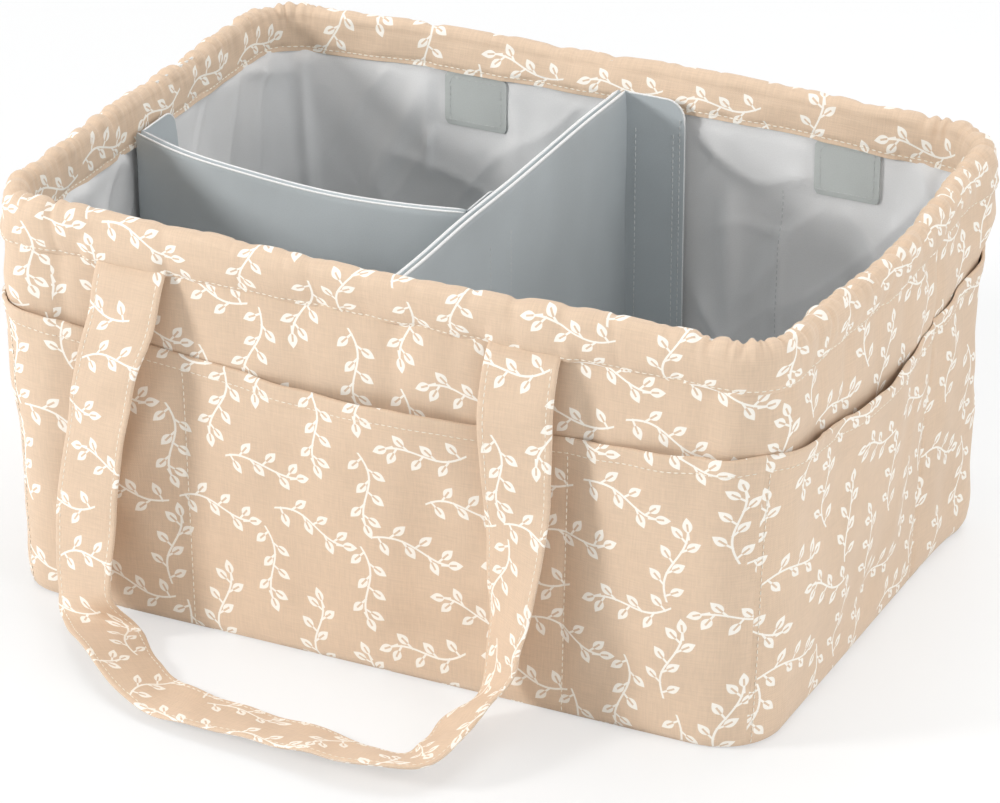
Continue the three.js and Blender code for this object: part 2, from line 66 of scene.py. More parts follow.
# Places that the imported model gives, in metres
BASE_LOW, BASE_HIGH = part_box("base_cover")
COVER_LOW, COVER_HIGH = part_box("outer_cover")
RIM_LOW, RIM_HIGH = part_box("rim_casing")
LINING_LOW, LINING_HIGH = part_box("lining_walls")
FLOOR_LOW, FLOOR_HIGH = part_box("lining_floor")
HEM = RIM_LOW.z
CREST = RIM_HIGH.z

# Rounding of the corners, and how far the short walls lean out at the hem
CORNER = 0.028
LEAN = 0.006

# Wall lay-up, as offsets in from the cover's outer face
COVER_THICKNESS = BASE_HIGH.z - BASE_LOW.z
LINING_BACK = BASE_HIGH.y - LINING_HIGH.y
LINING_FACE = LINING_BACK + FLOOR_HIGH.z - FLOOR_LOW.z

# Outline of the basket: a place is the distance travelled from the left end of the straight front
STRAIGHT = np.array((2 * (BASE_HIGH.x - CORNER), 2 * (BASE_HIGH.y - CORNER)))
ARC = CORNER * math.pi / 2
SIDE_START = np.concatenate(((0.0,), np.cumsum(np.tile(STRAIGHT + ARC, 2))))
PERIMETER = SIDE_START[4]
SIDE_START = SIDE_START[:4]
MIDDLE = SIDE_START + np.tile(STRAIGHT, 2) / 2
CORNERS = np.array(((-1, -1), (1, -1), (1, 1), (-1, 1)), float)
SIDES = ("front", "right", "back", "left")
FRONT, RIGHT, BACK, LEFT = range(4)

# Steps of the meshes round the basket and along a strap
WALL_STEPS = 640
RIM_STEPS = 1400
ELASTIC_STEPS = 320
PANEL_STEPS = 160
STRAP_STEPS = 330

# Pocket seams, from the middle of a wall, and the seams of the cover above two of them
LONG_SEAMS = (-0.090, 0.090)
SHORT_SEAMS = (0.048,)
COVER_SEAMS = [MIDDLE[side] + SHORT_SEAMS[0] for side in (RIGHT, LEFT)]
FOOT = 0.0006
POCKET_FACE = 0.0012
POCKET_CLOTH = 0.0011
POCKET_HEM_CLOTH = 0.0005
HEM_SEAM_INSET = 0.0012
# Heights between which the cover's swell over the pocket mouths builds up
MOUTH_SWELL = (0.112, 0.146)

# How far stitches lie over the cloth
STITCH_LIFT = 0.0001

# Casing section from the outer hem over the crest to the inner hem: offset in, height over the hem
RIM_PROFILE = np.array((
    (-0.3, -1.2), (-0.8, 0.5), (-1.4, 4.0), (-1.9, 8.4), (-1.9, 12.8), (-1.3, 16.8), (0.1, 19.8),
    (2.8, 21.2), (5.4, 20.0), (6.9, 16.6), (7.2, 11.2), (7.2, 4.2),
)) * 0.001
# From there to the casing's hidden skin
RIM_DEPTH = np.array((
    (0.5, 0.3), (0.8, 0.2), (1.0, 0), (1.1, 0), (1.1, 0), (1.1, -0.3), (0.9, -0.8),
    (0, -1.2), (-0.8, -0.8), (-0.9, -0.2), (-0.9, 0), (-0.9, 0.2),
)) * 0.001
CASING_WIDTH = 0.054
# Fullness at which gathered cloth stands neither in nor out
USUAL_FULLNESS = 0.62
# How far the casing's hems stand off over a strap end and over the patch behind it
STRAP_LIFT, PATCH_LIFT = 0.0024, 0.0012
# Where the casing's two seams run, as shares of the way over it
OUTER_SEAM, INNER_SEAM = 0.045, 0.955

# How far the outer cloth stands out in the middle of the front, right, back and left wall
HEM_BOW = np.array((0.0006, 0.0050, 0.0008, 0.0022))
CREST_BOW = np.array((0.0030, 0.0075, 0.0065, 0.0015))

# How far it stands out at the corner before each of these walls, at some heights and at the rim,
# and over what width
CORNER_HEIGHTS = np.array((0.030, 0.055, 0.080, 0.100, 0.118, 0.137, 0.157))
CORNER_OUT = np.array((
    (5.6, 5.3, 5.2, 6.8, 6.5, 5.9, 7.5),
    (0.4, 0.4, 0.4, 0.6, 1.2, 1.8, 2.2),
    (5.0, 5.0, -0.7, -0.7, 0.6, 1.3, 8.5),
    (3.5, 3.5, 3.4, 3.0, 2.6, 1.8, 1.8),
)) * 0.001
RIM_CORNER = np.array((0.0038, 0.0020, 0.0043, 0.0020))
CORNER_SPREAD = np.array((0.017, 0.017, 0.024, 0.017))

# Handle strap: where its two ends are sewn on, from the middle of the wall; then its route as place
# along the wall, out from the wall and height in millimetres, heading and tilt of its width in degrees
STRAP_ENDS = (-0.11556, 0.07308)
STRAP_ROUTE = np.array((
    (-115.6, 1.2, 175.5, 180, 0), (-115.6, 3.4, 171.6, 180, 0), (-115.6, 6.4, 167.2, 180, 0),
    (-116.9, 12, 149.1, 177, 0), (-123.1, 16, 126.8, 170, 0), (-130.1, 18, 84.3, 167, -1),
    (-133.6, 21, 47.9, 171, -4), (-132.1, 25, 16, 164, -14), (-124.1, 27, 6.5, 198, 0),
    (-111.3, 39.5, 7, 228, 16), (-94.2, 54.8, 6.8, 245, 17), (-80.3, 63.7, 4.4, 257, 9),
    (-61.4, 70.4, 3.3, 263, 5.5), (-31.5, 73.8, 4.6, 265, 10.5), (-6.9, 76, 5.2, 265, 12.6),
    (11.1, 78, 6, 265, 15), (32.1, 80.7, 7, 270, 19), (55.6, 74.7, 7, 305, 19),
    (61.1, 56.8, 9.6, 335, 28), (62.1, 38.5, 12.5, 345, 35), (68.6, 24, 18, 322, 36),
    (71.3, 19, 41.7, 318, 8), (73.1, 16, 64.3, 330, 0), (74.5, 15.5, 93.3, 346, 0),
    (74.4, 15, 122.1, 358, 0), (73.1, 13, 146.1, 366, 0), (73.1, 6.4, 167.2, 360, 0),
    (73.1, 3.4, 171.6, 360, 0), (73.1, 1.2, 175.5, 360, 0),
))
STRAP_PLACES = [turned * PERIMETER / 2 + STRAIGHT[0] / 2 + x for turned in (0, 1) for x in STRAP_ENDS]
STRAP_SEAM_INSET = 0.0028
# Where a strap's bend from the basket to the handle starts and ends: out from the wall, height
STRAP_BEND = ((0.0025, 0.1712), (0.0085, 0.1630))

# Creases of the lining: wall, then place from its middle and height of both ends, width, depth
LINING_CREASES = (
    (BACK, 0.158, 0.030, 0.162, 0.176, 0.0050, 0.0034),
    (BACK, 0.094, 0.172, 0.130, 0.095, 0.0050, 0.0030),
    (BACK, 0.095, 0.112, 0.093, 0.176, 0.0024, 0.0026),
    (BACK, -0.099, 0.146, -0.056, 0.072, 0.0055, 0.0028),
    (BACK, 0.060, 0.148, 0.018, 0.060, 0.0080, 0.0020),
    (BACK, 0.125, 0.100, 0.070, 0.030, 0.0090, 0.0018),
    (BACK, -0.060, 0.030, -0.054, 0.165, 0.0060, 0.0024),
    (BACK, -0.082, 0.016, -0.082, 0.146, 0.0026, 0.0016),
    (BACK, -0.120, 0.135, -0.152, 0.060, 0.0080, 0.0022),
    (BACK, -0.105, 0.110, -0.140, 0.020, 0.0085, 0.0020),
    (FRONT, 0.120, 0.040, 0.126, 0.170, 0.0060, 0.0026),
    (FRONT, -0.070, 0.030, -0.058, 0.165, 0.0060, 0.0022),
    (FRONT, -0.130, 0.150, -0.090, 0.060, 0.0075, 0.0020),
    (RIGHT, 0.030, 0.030, 0.038, 0.170, 0.0060, 0.0028),
    (RIGHT, -0.048, 0.035, -0.044, 0.150, 0.0075, 0.0022),
    (RIGHT, 0.075, 0.150, 0.050, 0.060, 0.0080, 0.0022),
    (LEFT, 0.056, 0.030, 0.050, 0.172, 0.0060, 0.0026),
    (LEFT, -0.058, 0.040, -0.064, 0.160, 0.0060, 0.0022),
    (LEFT, 0.088, 0.160, 0.070, 0.080, 0.0070, 0.0020),
)
# Where a tape lies flat on the lining: wall, place from its middle, half width
LINING_TAPES = ((FRONT, 0.0214, 0.0165), (BACK, -0.0214, 0.0165), (LEFT, 0.002, 0.0170))
LINING_SEAM = -0.082
LINING_FOLD_MOST = 0.0054
# Heights between which the lining turns flat under a patch, and the patches' corners and seams
PATCH_RISE = (0.136, 0.148)
PATCH_CORNER = 0.0022
PATCH_SEAM_INSET = 0.0028

# Cloth sleeves and flaps of the dividers, and where they stand
SLEEVE_THICKNESS = 0.0048
SLEEVE_CLOTH = 0.0008
FLAP_THICKNESS = 0.0016
FLAP_START = 0.0015
FLAP_CORNER = 0.009
FLAP_EDGE_RADIUS = 0.00045
FLAP_CURL = 0.0004
EDGE_INSET = 0.0003
# The two tapes that lean with the left wall: thickness, and way of their middles from the divider's end
LEANING_TAPE = 0.0016
HOOK_OUT, LOOP_OUT = 0.0010, 0.0029
CROSS_X = 0.0040
CROSS_HOOK_SEAMS = (0.0119, 0.0309)
CROSS_LOOP_SEAMS = (-0.027, -0.007)
SHORT_FLAP = 0.0309
SHORT_HOOK_SEAMS = (0.0055, 0.0245)
SHORT_LEFT = -0.1701
SHORT_ENDS_Y = (-0.017, -0.032)
SHORT_PULL_Y = -0.0545

# Print: the stem's sway and its wave in radians to the metre, then foot and turn of the leaves along it
STEM_SWAY = 0.0032
STEM_WAVES = 140.0
STEM_MIDDLE = 0.0032
STEM_TIP = 0.0172
LEAF_FEET = (
    (-0.0182, 0.62), (-0.0130, 2.45), (-0.0072, 0.70), (-0.0018, 2.38), (0.0044, 0.66), (0.0092, 2.50))
LEAF_REACH = 0.0060

TAPE_COLOUR = (0.62, 0.65, 0.65)
ELASTIC_COLOUR = (0.88, 0.87, 0.83)
BOARD_COLOUR = (0.60, 0.53, 0.42)


def length_input(label, description, default, low, high):
    return FloatProperty(
        name=label, description=description, default=default, min=low, max=high, unit="LENGTH")


def colour_input(label, description, default):
    return FloatVectorProperty(
        name=label, description=description, default=default, min=0, max=1, subtype="COLOR")


class CaddySizes(bpy.types.PropertyGroup):
    """Sizes of the sewn details."""

    gather_full: length_input(
        "Gather fullness", "How far the rim swells between two gathers", 0.0021, 0.0, 0.008)
    gather_long: length_input(
        "Gathers on the long walls", "Usual distance between two gathers", 0.034, 0.008, 0.2)
    gather_short: length_input(
        "Gathers on the short walls", "Usual distance between two gathers", 0.0110, 0.005, 0.08)
    pocket_gape: length_input(
        "Pocket gape", "How far a pocket mouth stands off the wall", 0.0034, 0.001, 0.02)
    pocket_top: length_input(
        "Pocket top", "Height of the pockets at the corner seams",
        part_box("front_pocket")[1].z, 0.05, 0.16)
    pocket_sag: length_input(
        "Pocket sag", "How far a pocket's edge drops between the corner seams", 0.011, 0.0, 0.04)
    pocket_hem: length_input("Pocket hem", "Width of the doubled edge of a pocket", 0.0088, 0.003, 0.03)
    strap_width: length_input("Strap width", "Width of the handle straps", 0.034, 0.015, 0.05)
    strap_thickness: length_input(
        "Strap thickness", "Thickness of the folded and sewn strap", 0.0021, 0.001, 0.005)
    stitch_pitch: length_input("Stitch pitch", "Distance from one stitch to the next", 0.0031, 0.001, 0.01)
    stitch_length: length_input("Stitch length", "Visible length of one stitch", 0.0023, 0.0005, 0.01)
    thread: length_input("Thread", "Thickness of the sewing thread", 0.00055, 0.0001, 0.002)
    sprig_pitch: length_input(
        "Sprig pitch", "Distance between two printed sprigs of one row", 0.048, 0.02, 0.2)
    seed: IntProperty(
        name="Seed", description="Start of the random gathers and folds", default=11, min=0)


class CaddyColours(bpy.types.PropertyGroup):
    """Colours of the cloths and the thread."""

    cotton: colour_input("Cotton", "Ground of the printed cotton", (0.715, 0.545, 0.400))
    print_cream: colour_input("Print", "Leaves and stems of the print", (0.96, 0.92, 0.85))
    lining: colour_input("Lining", "Coated lining cloth", (0.86, 0.865, 0.87))
    divider: colour_input("Divider cloth", "Coated cloth of the dividers", (0.525, 0.575, 0.60))
    patch: colour_input("Patch cloth", "Coated cloth of the anchor patches", (0.60, 0.635, 0.62))
    edge: colour_input("Divider edge", "Pale edges of the dividers and their flaps", (0.88, 0.89, 0.89))
    thread: colour_input("Thread", "Sewing thread on the cotton", (0.93, 0.87, 0.76))
    grey_thread: colour_input(
        "Grey thread", "Sewing thread on the lining and dividers", (0.66, 0.68, 0.68))


def sizes():
    return bpy.context.scene.caddy_sizes


def colours():
    return bpy.context.scene.caddy_colours


# Shapes in numbers

def smooth(low, high, value):
    """0 below low, 1 above high, and a soft step between."""
    share = np.clip((np.asarray(value, float) - low) / (high - low), 0, 1)
    return share * share * (3 - 2 * share)


def bump(middle, width, value):
    """1 at the middle, falling softly to 0 within about two widths."""
    return np.exp(-((np.asarray(value, float) - middle) / width) ** 2)


def travelled(points):
    """Length of the way along a row of points, up to each of them."""
    return np.concatenate(((0.0,), np.cumsum(np.linalg.norm(np.diff(points, axis=0), axis=1))))


def unit(vectors):
    """The same directions at length 1."""
    return vectors / np.linalg.norm(vectors, axis=1)[:, None]


def side_at(distance):
    """The wall, with the corner after it, that a distance lies on, and how far along it."""
    rest = np.mod(distance, PERIMETER)
    side = np.clip(np.searchsorted(SIDE_START, rest, side="right") - 1, 0, 3)
    return side, rest - SIDE_START[side]


def wall(distance, offset, height):
    """Points on the basket's outline; the short walls lean out and the offset goes inwards."""
    distance, offset, height = np.broadcast_arrays(distance, offset, height)
    side, rest = side_at(distance)
    straight = STRAIGHT[side % 2]
    along = np.clip(rest / straight, 0, 1)[..., None]
    angle = (side - 1) * math.pi / 2 + np.clip(rest - straight, 0, None) / CORNER
    centre = CORNERS[side] * (1 - along) + CORNERS[(side + 1) % 4] * along
    reach = CORNER - offset
    x = centre[..., 0] * (STRAIGHT[0] / 2 + LEAN * height / HEM) + reach * np.cos(angle)
    y = centre[..., 1] * STRAIGHT[1] / 2 + reach * np.sin(angle)
    return np.stack((x, y, height), -1)


def round_gap(distance, place):
    """Signed way from a place to a distance, the short way round the basket."""
    return np.mod(distance - place + PERIMETER / 2, PERIMETER) - PERIMETER / 2


def places_round(count):
    """Even places round the basket."""
    return np.linspace(0, PERIMETER, count, endpoint=False)


def at_cover_seam(distance, width):
    """1 on the cover's seams, falling softly within about two widths."""
    return sum(bump(0, width, round_gap(distance, place)) for place in COVER_SEAMS)


def on_long_wall(distance):
    """1 along the straight of a long wall, 0 round the corners and on the short walls."""
    lap = np.mod(distance, PERIMETER / 2)
    return smooth(-0.004, 0.030, lap) * (1 - smooth(STRAIGHT[0] - 0.030, STRAIGHT[0] + 0.004, lap))


def ripple(along, up, wavelength, seed, stretch=1.0):
    """Soft random waves from about -1 to 1 that close round the basket."""
    rng = np.random.default_rng(seed)
    total = 0.0
    for _ in range(16):
        turn = rng.uniform(0, 2 * math.pi)
        size = wavelength * rng.uniform(0.7, 1.7)
        laps = round(PERIMETER * math.cos(turn) / size)
        climb = math.sin(turn) / (size * stretch)
        total = total + np.cos(2 * math.pi * (laps * along / PERIMETER + climb * up) + rng.uniform(0, 6.28))
    return total / 4.6


def crease(along, up, start, end, width):
    """1 on the line from start to end, falling softly to the sides and at the ends."""
    start, end = np.array(start), np.array(end)
    line = end - start
    length = np.linalg.norm(line)
    du, dv = along - start[0], up - start[1]
    travel = (du * line[0] + dv * line[1]) / length
    aside = (du * line[1] - dv * line[0]) / length
    taper = smooth(0, 0.3 * length, travel) * (1 - smooth(0.7 * length, length, travel))
    return taper * bump(0, width, aside)


def curve_through(points, count):
    """Evenly spaced points on a smooth curve through the given ones, their places in the list, the way."""
    points = np.asarray(points, float)
    padded = np.vstack((2 * points[0] - points[1], points, 2 * points[-1] - points[-2]))
    gaps = np.maximum(np.linalg.norm(np.diff(padded, axis=0), axis=1) ** 0.5, 1e-6)
    samples, places = [], []
    share = np.linspace(0, 1, 24, endpoint=False)[:, None]
    for i in range(len(points) - 1):
        before, start, end, after = padded[i:i + 4]
        g0, g1, g2 = gaps[i:i + 3]
        leave = ((start - before) / g0 - (end - before) / (g0 + g1) + (end - start) / g1) * g1
        reach = ((end - start) / g1 - (after - start) / (g1 + g2) + (after - end) / g2) * g1
        cube = 2 * start - 2 * end + leave + reach
        square = -3 * start + 3 * end - 2 * leave - reach
        samples.append(start + leave * share + square * share ** 2 + cube * share ** 3)
        places.append(i + share[:, 0])
    samples = np.vstack(samples + [points[-1:]])
    places = np.concatenate(places + [[len(points) - 1.0]])
    way = travelled(samples)
    even = np.linspace(0, way[-1], count)
    picked = np.stack([np.interp(even, way, column) for column in samples.T], -1)
    return picked, np.interp(even, way, places), even


def bow(distance, amounts):
    """How far a wall stands out between its corners; one amount for each wall from the front on."""
    side, rest = side_at(distance)
    along = np.clip(rest / STRAIGHT[side % 2], 0, 1)
    return amounts[side] * 16 * (along * (1 - along)) ** 2


def corner_out(distance, amounts):
    """How far the four corners stand out of their even rounding, by one amount for each corner."""
    return sum(amount * bump(0, spread, round_gap(distance, start - ARC / 2))
               for amount, spread, start in zip(amounts, CORNER_SPREAD, SIDE_START))


def corner_amounts(height):
    """How far each corner stands out at a height, in soft steps between the given heights."""
    amounts = []
    for row in CORNER_OUT:
        amount = row[0]
        for low, high, change in zip(CORNER_HEIGHTS[:-1], CORNER_HEIGHTS[1:], np.diff(row)):
            amount = amount + change * smooth(low, high, height)
        amounts.append(amount)
    return amounts


def lay_folds(seed, on_long, on_short, width, slant):
    """Place, depth, width and slant of each fold, once round the basket."""
    rng = np.random.default_rng(seed)
    folds = []
    place = 0.004
    while place < PERIMETER - 0.004:
        loose = float(on_long_wall(place))
        usual = on_short + loose * (on_long - on_short)
        hand = -1 if rng.uniform() < 0.75 else 1
        folds.append((
            place,
            rng.uniform(0.50, 0.95) - 0.25 * loose * rng.uniform(),
            width * rng.uniform(0.75, 1.3) * (1 + 0.1 * loose),
            hand * slant * rng.uniform(0.3, 1.0) * (1 - 0.6 * loose),
        ))
        place += usual * rng.uniform(0.55, 1.50)
    return folds


def pleats():
    """The folds that run from the crest down to the hem."""
    return lay_folds(sizes().seed, sizes().gather_long, sizes().gather_short, 0.0027, 0.014)


def ruches():
    """The short fine folds along the crest."""
    return lay_folds(sizes().seed + 1, 0.0200, 0.0052, 0.0016, 0.005)


def fullness(folds, distance, rise, hold=1.0):
    """1 where the gathered cloth stands full, near 0 in a fold."""
    full = np.ones(np.broadcast(distance, rise).shape)
    for place, depth, width, slant in folds:
        gap = round_gap(distance, place + slant * (rise - 0.4))
        full = full * (1 - depth * hold * bump(0, width, gap))
    return full


# Meshes

def loft(points, uv, ring=False):
    """A closed shell from section loops: points[i, j] is point j of loop i.

    uv has one more column than points, and one more row on a ring, so that a pattern runs on
    over the join. A shell that isn't a ring is closed at its ends between its two skins.
    """
    loops, count = points.shape[:2]
    grid = np.arange(loops * count).reshape(loops, count)
    corner = np.arange((loops + ring) * (count + 1)).reshape(loops + ring, count + 1)
    if ring:
        grid = np.vstack((grid, grid[:1]))
    grid = np.hstack((grid, grid[:, :1]))

    def quads(table):
        around = (table[:-1, :-1], table[1:, :-1], table[1:, 1:], table[:-1, 1:])
        return np.stack(around, -1).reshape(-1, 4)

    faces, corners = [quads(grid)], [quads(corner)]
    if not ring:
        low = np.arange(count // 2 - 1)
        high = count - 1 - low
        for end, way in ((0, 1), (loops - 1, -1)):
            cap = np.stack((low, low + 1, high - 1, high), -1)[:, ::way]
            faces.append(grid[end][cap])
            corners.append(corner[end][cap])
    return points.reshape(-1, 3), np.vstack(faces), uv.reshape(-1, 2)[np.vstack(corners)]


def two_skins(front, back, uv_front, uv_back):
    """Section loops of a sheet from the grids of its two skins, each row running up the sheet."""
    points = np.concatenate((front, back[:, ::-1]), 1)
    uv = np.concatenate((uv_front, uv_back[:, ::-1], uv_front[:, :1]), 1)
    return points, uv


def faces_out(points, faces):
    """Whether the faces of a closed shell look outwards: they enclose a positive volume."""
    a, b, c, d = (points[faces[:, k]] for k in range(4))
    six = np.einsum("ij,ij->", a, np.cross(b, c)) + np.einsum("ij,ij->", a, np.cross(c, d))
    return six > 0


def build_mesh(name, shells, crisp=50):
    """One mesh from closed shells, smooth except over edges sharper than crisp degrees."""
    all_points, all_faces, all_uv = [], [], []
    start = 0
    for points, faces, uv in shells:
        if not faces_out(points, faces):
            faces, uv = faces[:, ::-1], uv[:, ::-1]
        all_points.append(points)
        all_faces.append(faces + start)
        all_uv.append(uv)
        start += len(points)
    mesh = bpy.data.meshes.new(name)
    mesh.from_pydata(np.vstack(all_points).tolist(), [], np.vstack(all_faces).tolist())
    layer = mesh.uv_layers.new(name="cloth")
    layer.data.foreach_set("uv", np.vstack(all_uv).reshape(-1).astype(np.float32))
    mesh.polygons.foreach_set("use_smooth", np.ones(len(mesh.polygons), bool))
    mesh.set_sharp_from_angle(angle=math.radians(crisp))
    return mesh


def link_new(name, data):
    """A new object, put in the scene."""
    item = bpy.data.objects.new(name, data)
    bpy.context.scene.collection.objects.link(item)
    return item


def add_piece(name, mesh, material, body=None, stands_for=()):
    """Puts a finished mesh in the scene as a named piece of the caddy."""
    piece = link_new(name, mesh)
    mesh.materials.clear()
    mesh.materials.append(material)
    if body:
        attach(piece, body)
    if stands_for:
        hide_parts(*stands_for)
    return piece


def add_cloth(name, shells, cloth, body, stands_for=(), crisp=50):
    """A piece of closed shells in the named finish."""
    return add_piece(name, build_mesh(name, shells, crisp), finish(cloth), body, stands_for)


def ring_sheet(distance, front, back, front_rows, back_rows):
    """A sheet round the whole basket from its two skins; the rows say how far up the cloth each runs."""
    points = np.concatenate((front, back[:, ::-1]), 1)
    travel = np.vstack((distance, [[PERIMETER]]))
    up = np.concatenate((front_rows, back_rows[::-1], front_rows[:1]))
    return loft(points, np.stack(np.broadcast_arrays(travel, up[None]), -1), ring=True)


def round_panel(offset, low, high, dip=None):
    """A flat panel that fills the basket's outline, with a soft dip on its upper skin."""
    edge = wall(places_round(PANEL_STEPS), offset, low)
    scale = np.concatenate((np.linspace(1, 0.9, 6), np.linspace(0.86, 0.02, 26)))
    upper = edge[:, None] * np.array((1, 1, 0)) * scale[:, None]
    lower = upper.copy()
    upper[..., 2] = high - (0 if dip is None else dip(upper[..., 0], upper[..., 1]))
    lower[..., 2] = low
    points = np.concatenate((upper, lower[:, ::-1]), 1)
    flat = np.concatenate((points, points[:, :1]), 1)[..., :2]
    return close_middle(loft(points, np.vstack((flat, flat[:1])), ring=True), len(scale))


def close_middle(shell, rings):
    """Closes the small hole in the middle of a round panel: its two skins meet their own centre."""
    points, faces, uv = shell
    count = rings * 2
    loops = len(points) // count
    touches = [np.isin(faces, np.arange(loops) * count + column).any(1) for column in (rings - 1, rings)]
    keep = ~(touches[0] & touches[1])
    caps, cap_uv, centres = [], [], []
    for column, way in ((rings - 1, 1), (rings, -1)):
        ring = np.arange(loops) * count + column
        following = np.roll(ring, -1)
        centre = len(points) + len(centres)
        centres.append(points[ring].mean(0))
        spots = np.vstack((points, centres))
        for around in zip(ring[::2], following[::2], following[1::2]):
            face = (*around, centre)[::way]
            caps.append(face)
            cap_uv.append(spots[list(face), :2])
    return spots, np.vstack((faces[keep], caps)), np.vstack((uv[keep], cap_uv))


def upright_cloth(path, out, thickness, bottom, top, rows, shift=0.0):
    """A thin upright sheet along a path in plan that faces out; bottom and top may change along it."""
    path, out = np.asarray(path, float), np.asarray(out, float)
    rise = np.linspace(0, 1, rows)
    bottom, top = np.broadcast_to(bottom, len(path)), np.broadcast_to(top, len(path))
    height = bottom[:, None] + (top - bottom)[:, None] * rise
    edge = np.minimum(1, 0.35 + 9 * np.minimum(rise, 1 - rise))
    skins = []
    for sign in (1, -1):
        place = path[:, None] + (out * sign) * (thickness / 2 * edge)[:, None]
        skins.append(np.concatenate((place, height[..., None]), -1))
    length = travelled(path)
    uv = np.stack((np.broadcast_to(length[:, None] + shift, height.shape), height), -1)
    return loft(*two_skins(skins[0], skins[1], uv, uv))


# Stitches

def stitch_tree():
    """Geometry nodes that set small threads along lines: Pitch, Length, Thread, Material."""
    found = bpy.data.node_groups.get("Stitch line")
    if found:
        return found
    tree = bpy.data.node_groups.new("Stitch line", "GeometryNodeTree")
    face = tree.interface
    face.new_socket("Lines", in_out="INPUT", socket_type="NodeSocketGeometry")
    for name, value in (("Pitch", 0.003), ("Length", 0.002), ("Thread", 0.0005)):
        face.new_socket(name, in_out="INPUT", socket_type="NodeSocketFloat").default_value = value
    face.new_socket("Material", in_out="INPUT", socket_type="NodeSocketMaterial")
    face.new_socket("Stitches", in_out="OUTPUT", socket_type="NodeSocketGeometry")
    add = tree.nodes.new
    start, end = add("NodeGroupInput"), add("NodeGroupOutput")
    curve = add("GeometryNodeMeshToCurve")
    spaced = add("GeometryNodeResampleCurve")
    spaced.mode = "LENGTH"
    tangent = add("GeometryNodeInputTangent")
    turn = add("FunctionNodeAlignRotationToVector")
    turn.axis = "Z"
    thread = add("GeometryNodeMeshUVSphere")
    for name, value in (("Segments", 6), ("Rings", 4), ("Radius", 0.5)):
        thread.inputs[name].default_value = value
    size = add("ShaderNodeCombineXYZ")
    placed = add("GeometryNodeInstanceOnPoints")
    real = add("GeometryNodeRealizeInstances")
    dyed = add("GeometryNodeSetMaterial")
    for source, output, target, entry in (
            (start, "Lines", curve, "Mesh"), (curve, "Curve", spaced, "Curve"),
            (start, "Pitch", spaced, "Length"), (tangent, "Tangent", turn, "Vector"),
            (start, "Thread", size, "X"), (start, "Thread", size, "Y"), (start, "Length", size, "Z"),
            (spaced, "Curve", placed, "Points"), (thread, "Mesh", placed, "Instance"),
            (turn, "Rotation", placed, "Rotation"), (size, "Vector", placed, "Scale"),
            (placed, "Instances", real, "Geometry"), (real, "Geometry", dyed, "Geometry"),
            (start, "Material", dyed, "Material"), (dyed, "Geometry", end, "Stitches")):
        tree.links.new(source.outputs[output], target.inputs[entry])
    return tree


def sew(name, lines, thread_name, body=None, thread=1.0):
    """One plain mesh of stitches along the lines, each an array of points."""
    points, edges = [], []
    for line in lines:
        first = len(points)
        points.extend(map(tuple, line))
        edges.extend((first + i, first + i + 1) for i in range(len(line) - 1))
    guide = bpy.data.meshes.new(name + "_guide")
    guide.from_pydata(points, edges, [])
    holder = link_new(name + "_guide", guide)
    modifier = holder.modifiers.new("Stitches", "NODES")
    tree = stitch_tree()
    material = finish(thread_name)
    values = {
        "Pitch": sizes().stitch_pitch, "Length": sizes().stitch_length,
        "Thread": sizes().thread * thread, "Material": material,
    }
    modifier.node_group = tree
    for socket in tree.interface.items_tree:
        if socket.in_out == "INPUT" and socket.name in values:
            modifier[socket.identifier] = values[socket.name]
    evaluated = holder.evaluated_get(bpy.context.evaluated_depsgraph_get())
    mesh = bpy.data.meshes.new_from_object(evaluated)
    mesh.name = name
    holder.modifiers.remove(modifier)
    bpy.data.objects.remove(holder)
    bpy.data.meshes.remove(guide)
    if not mesh.polygons:
        raise RuntimeError(f"{name}: no stitches were made")
    mesh.polygons.foreach_set("use_smooth", np.ones(len(mesh.polygons), bool))
    return add_piece(name, mesh, material, body)


# Finishes

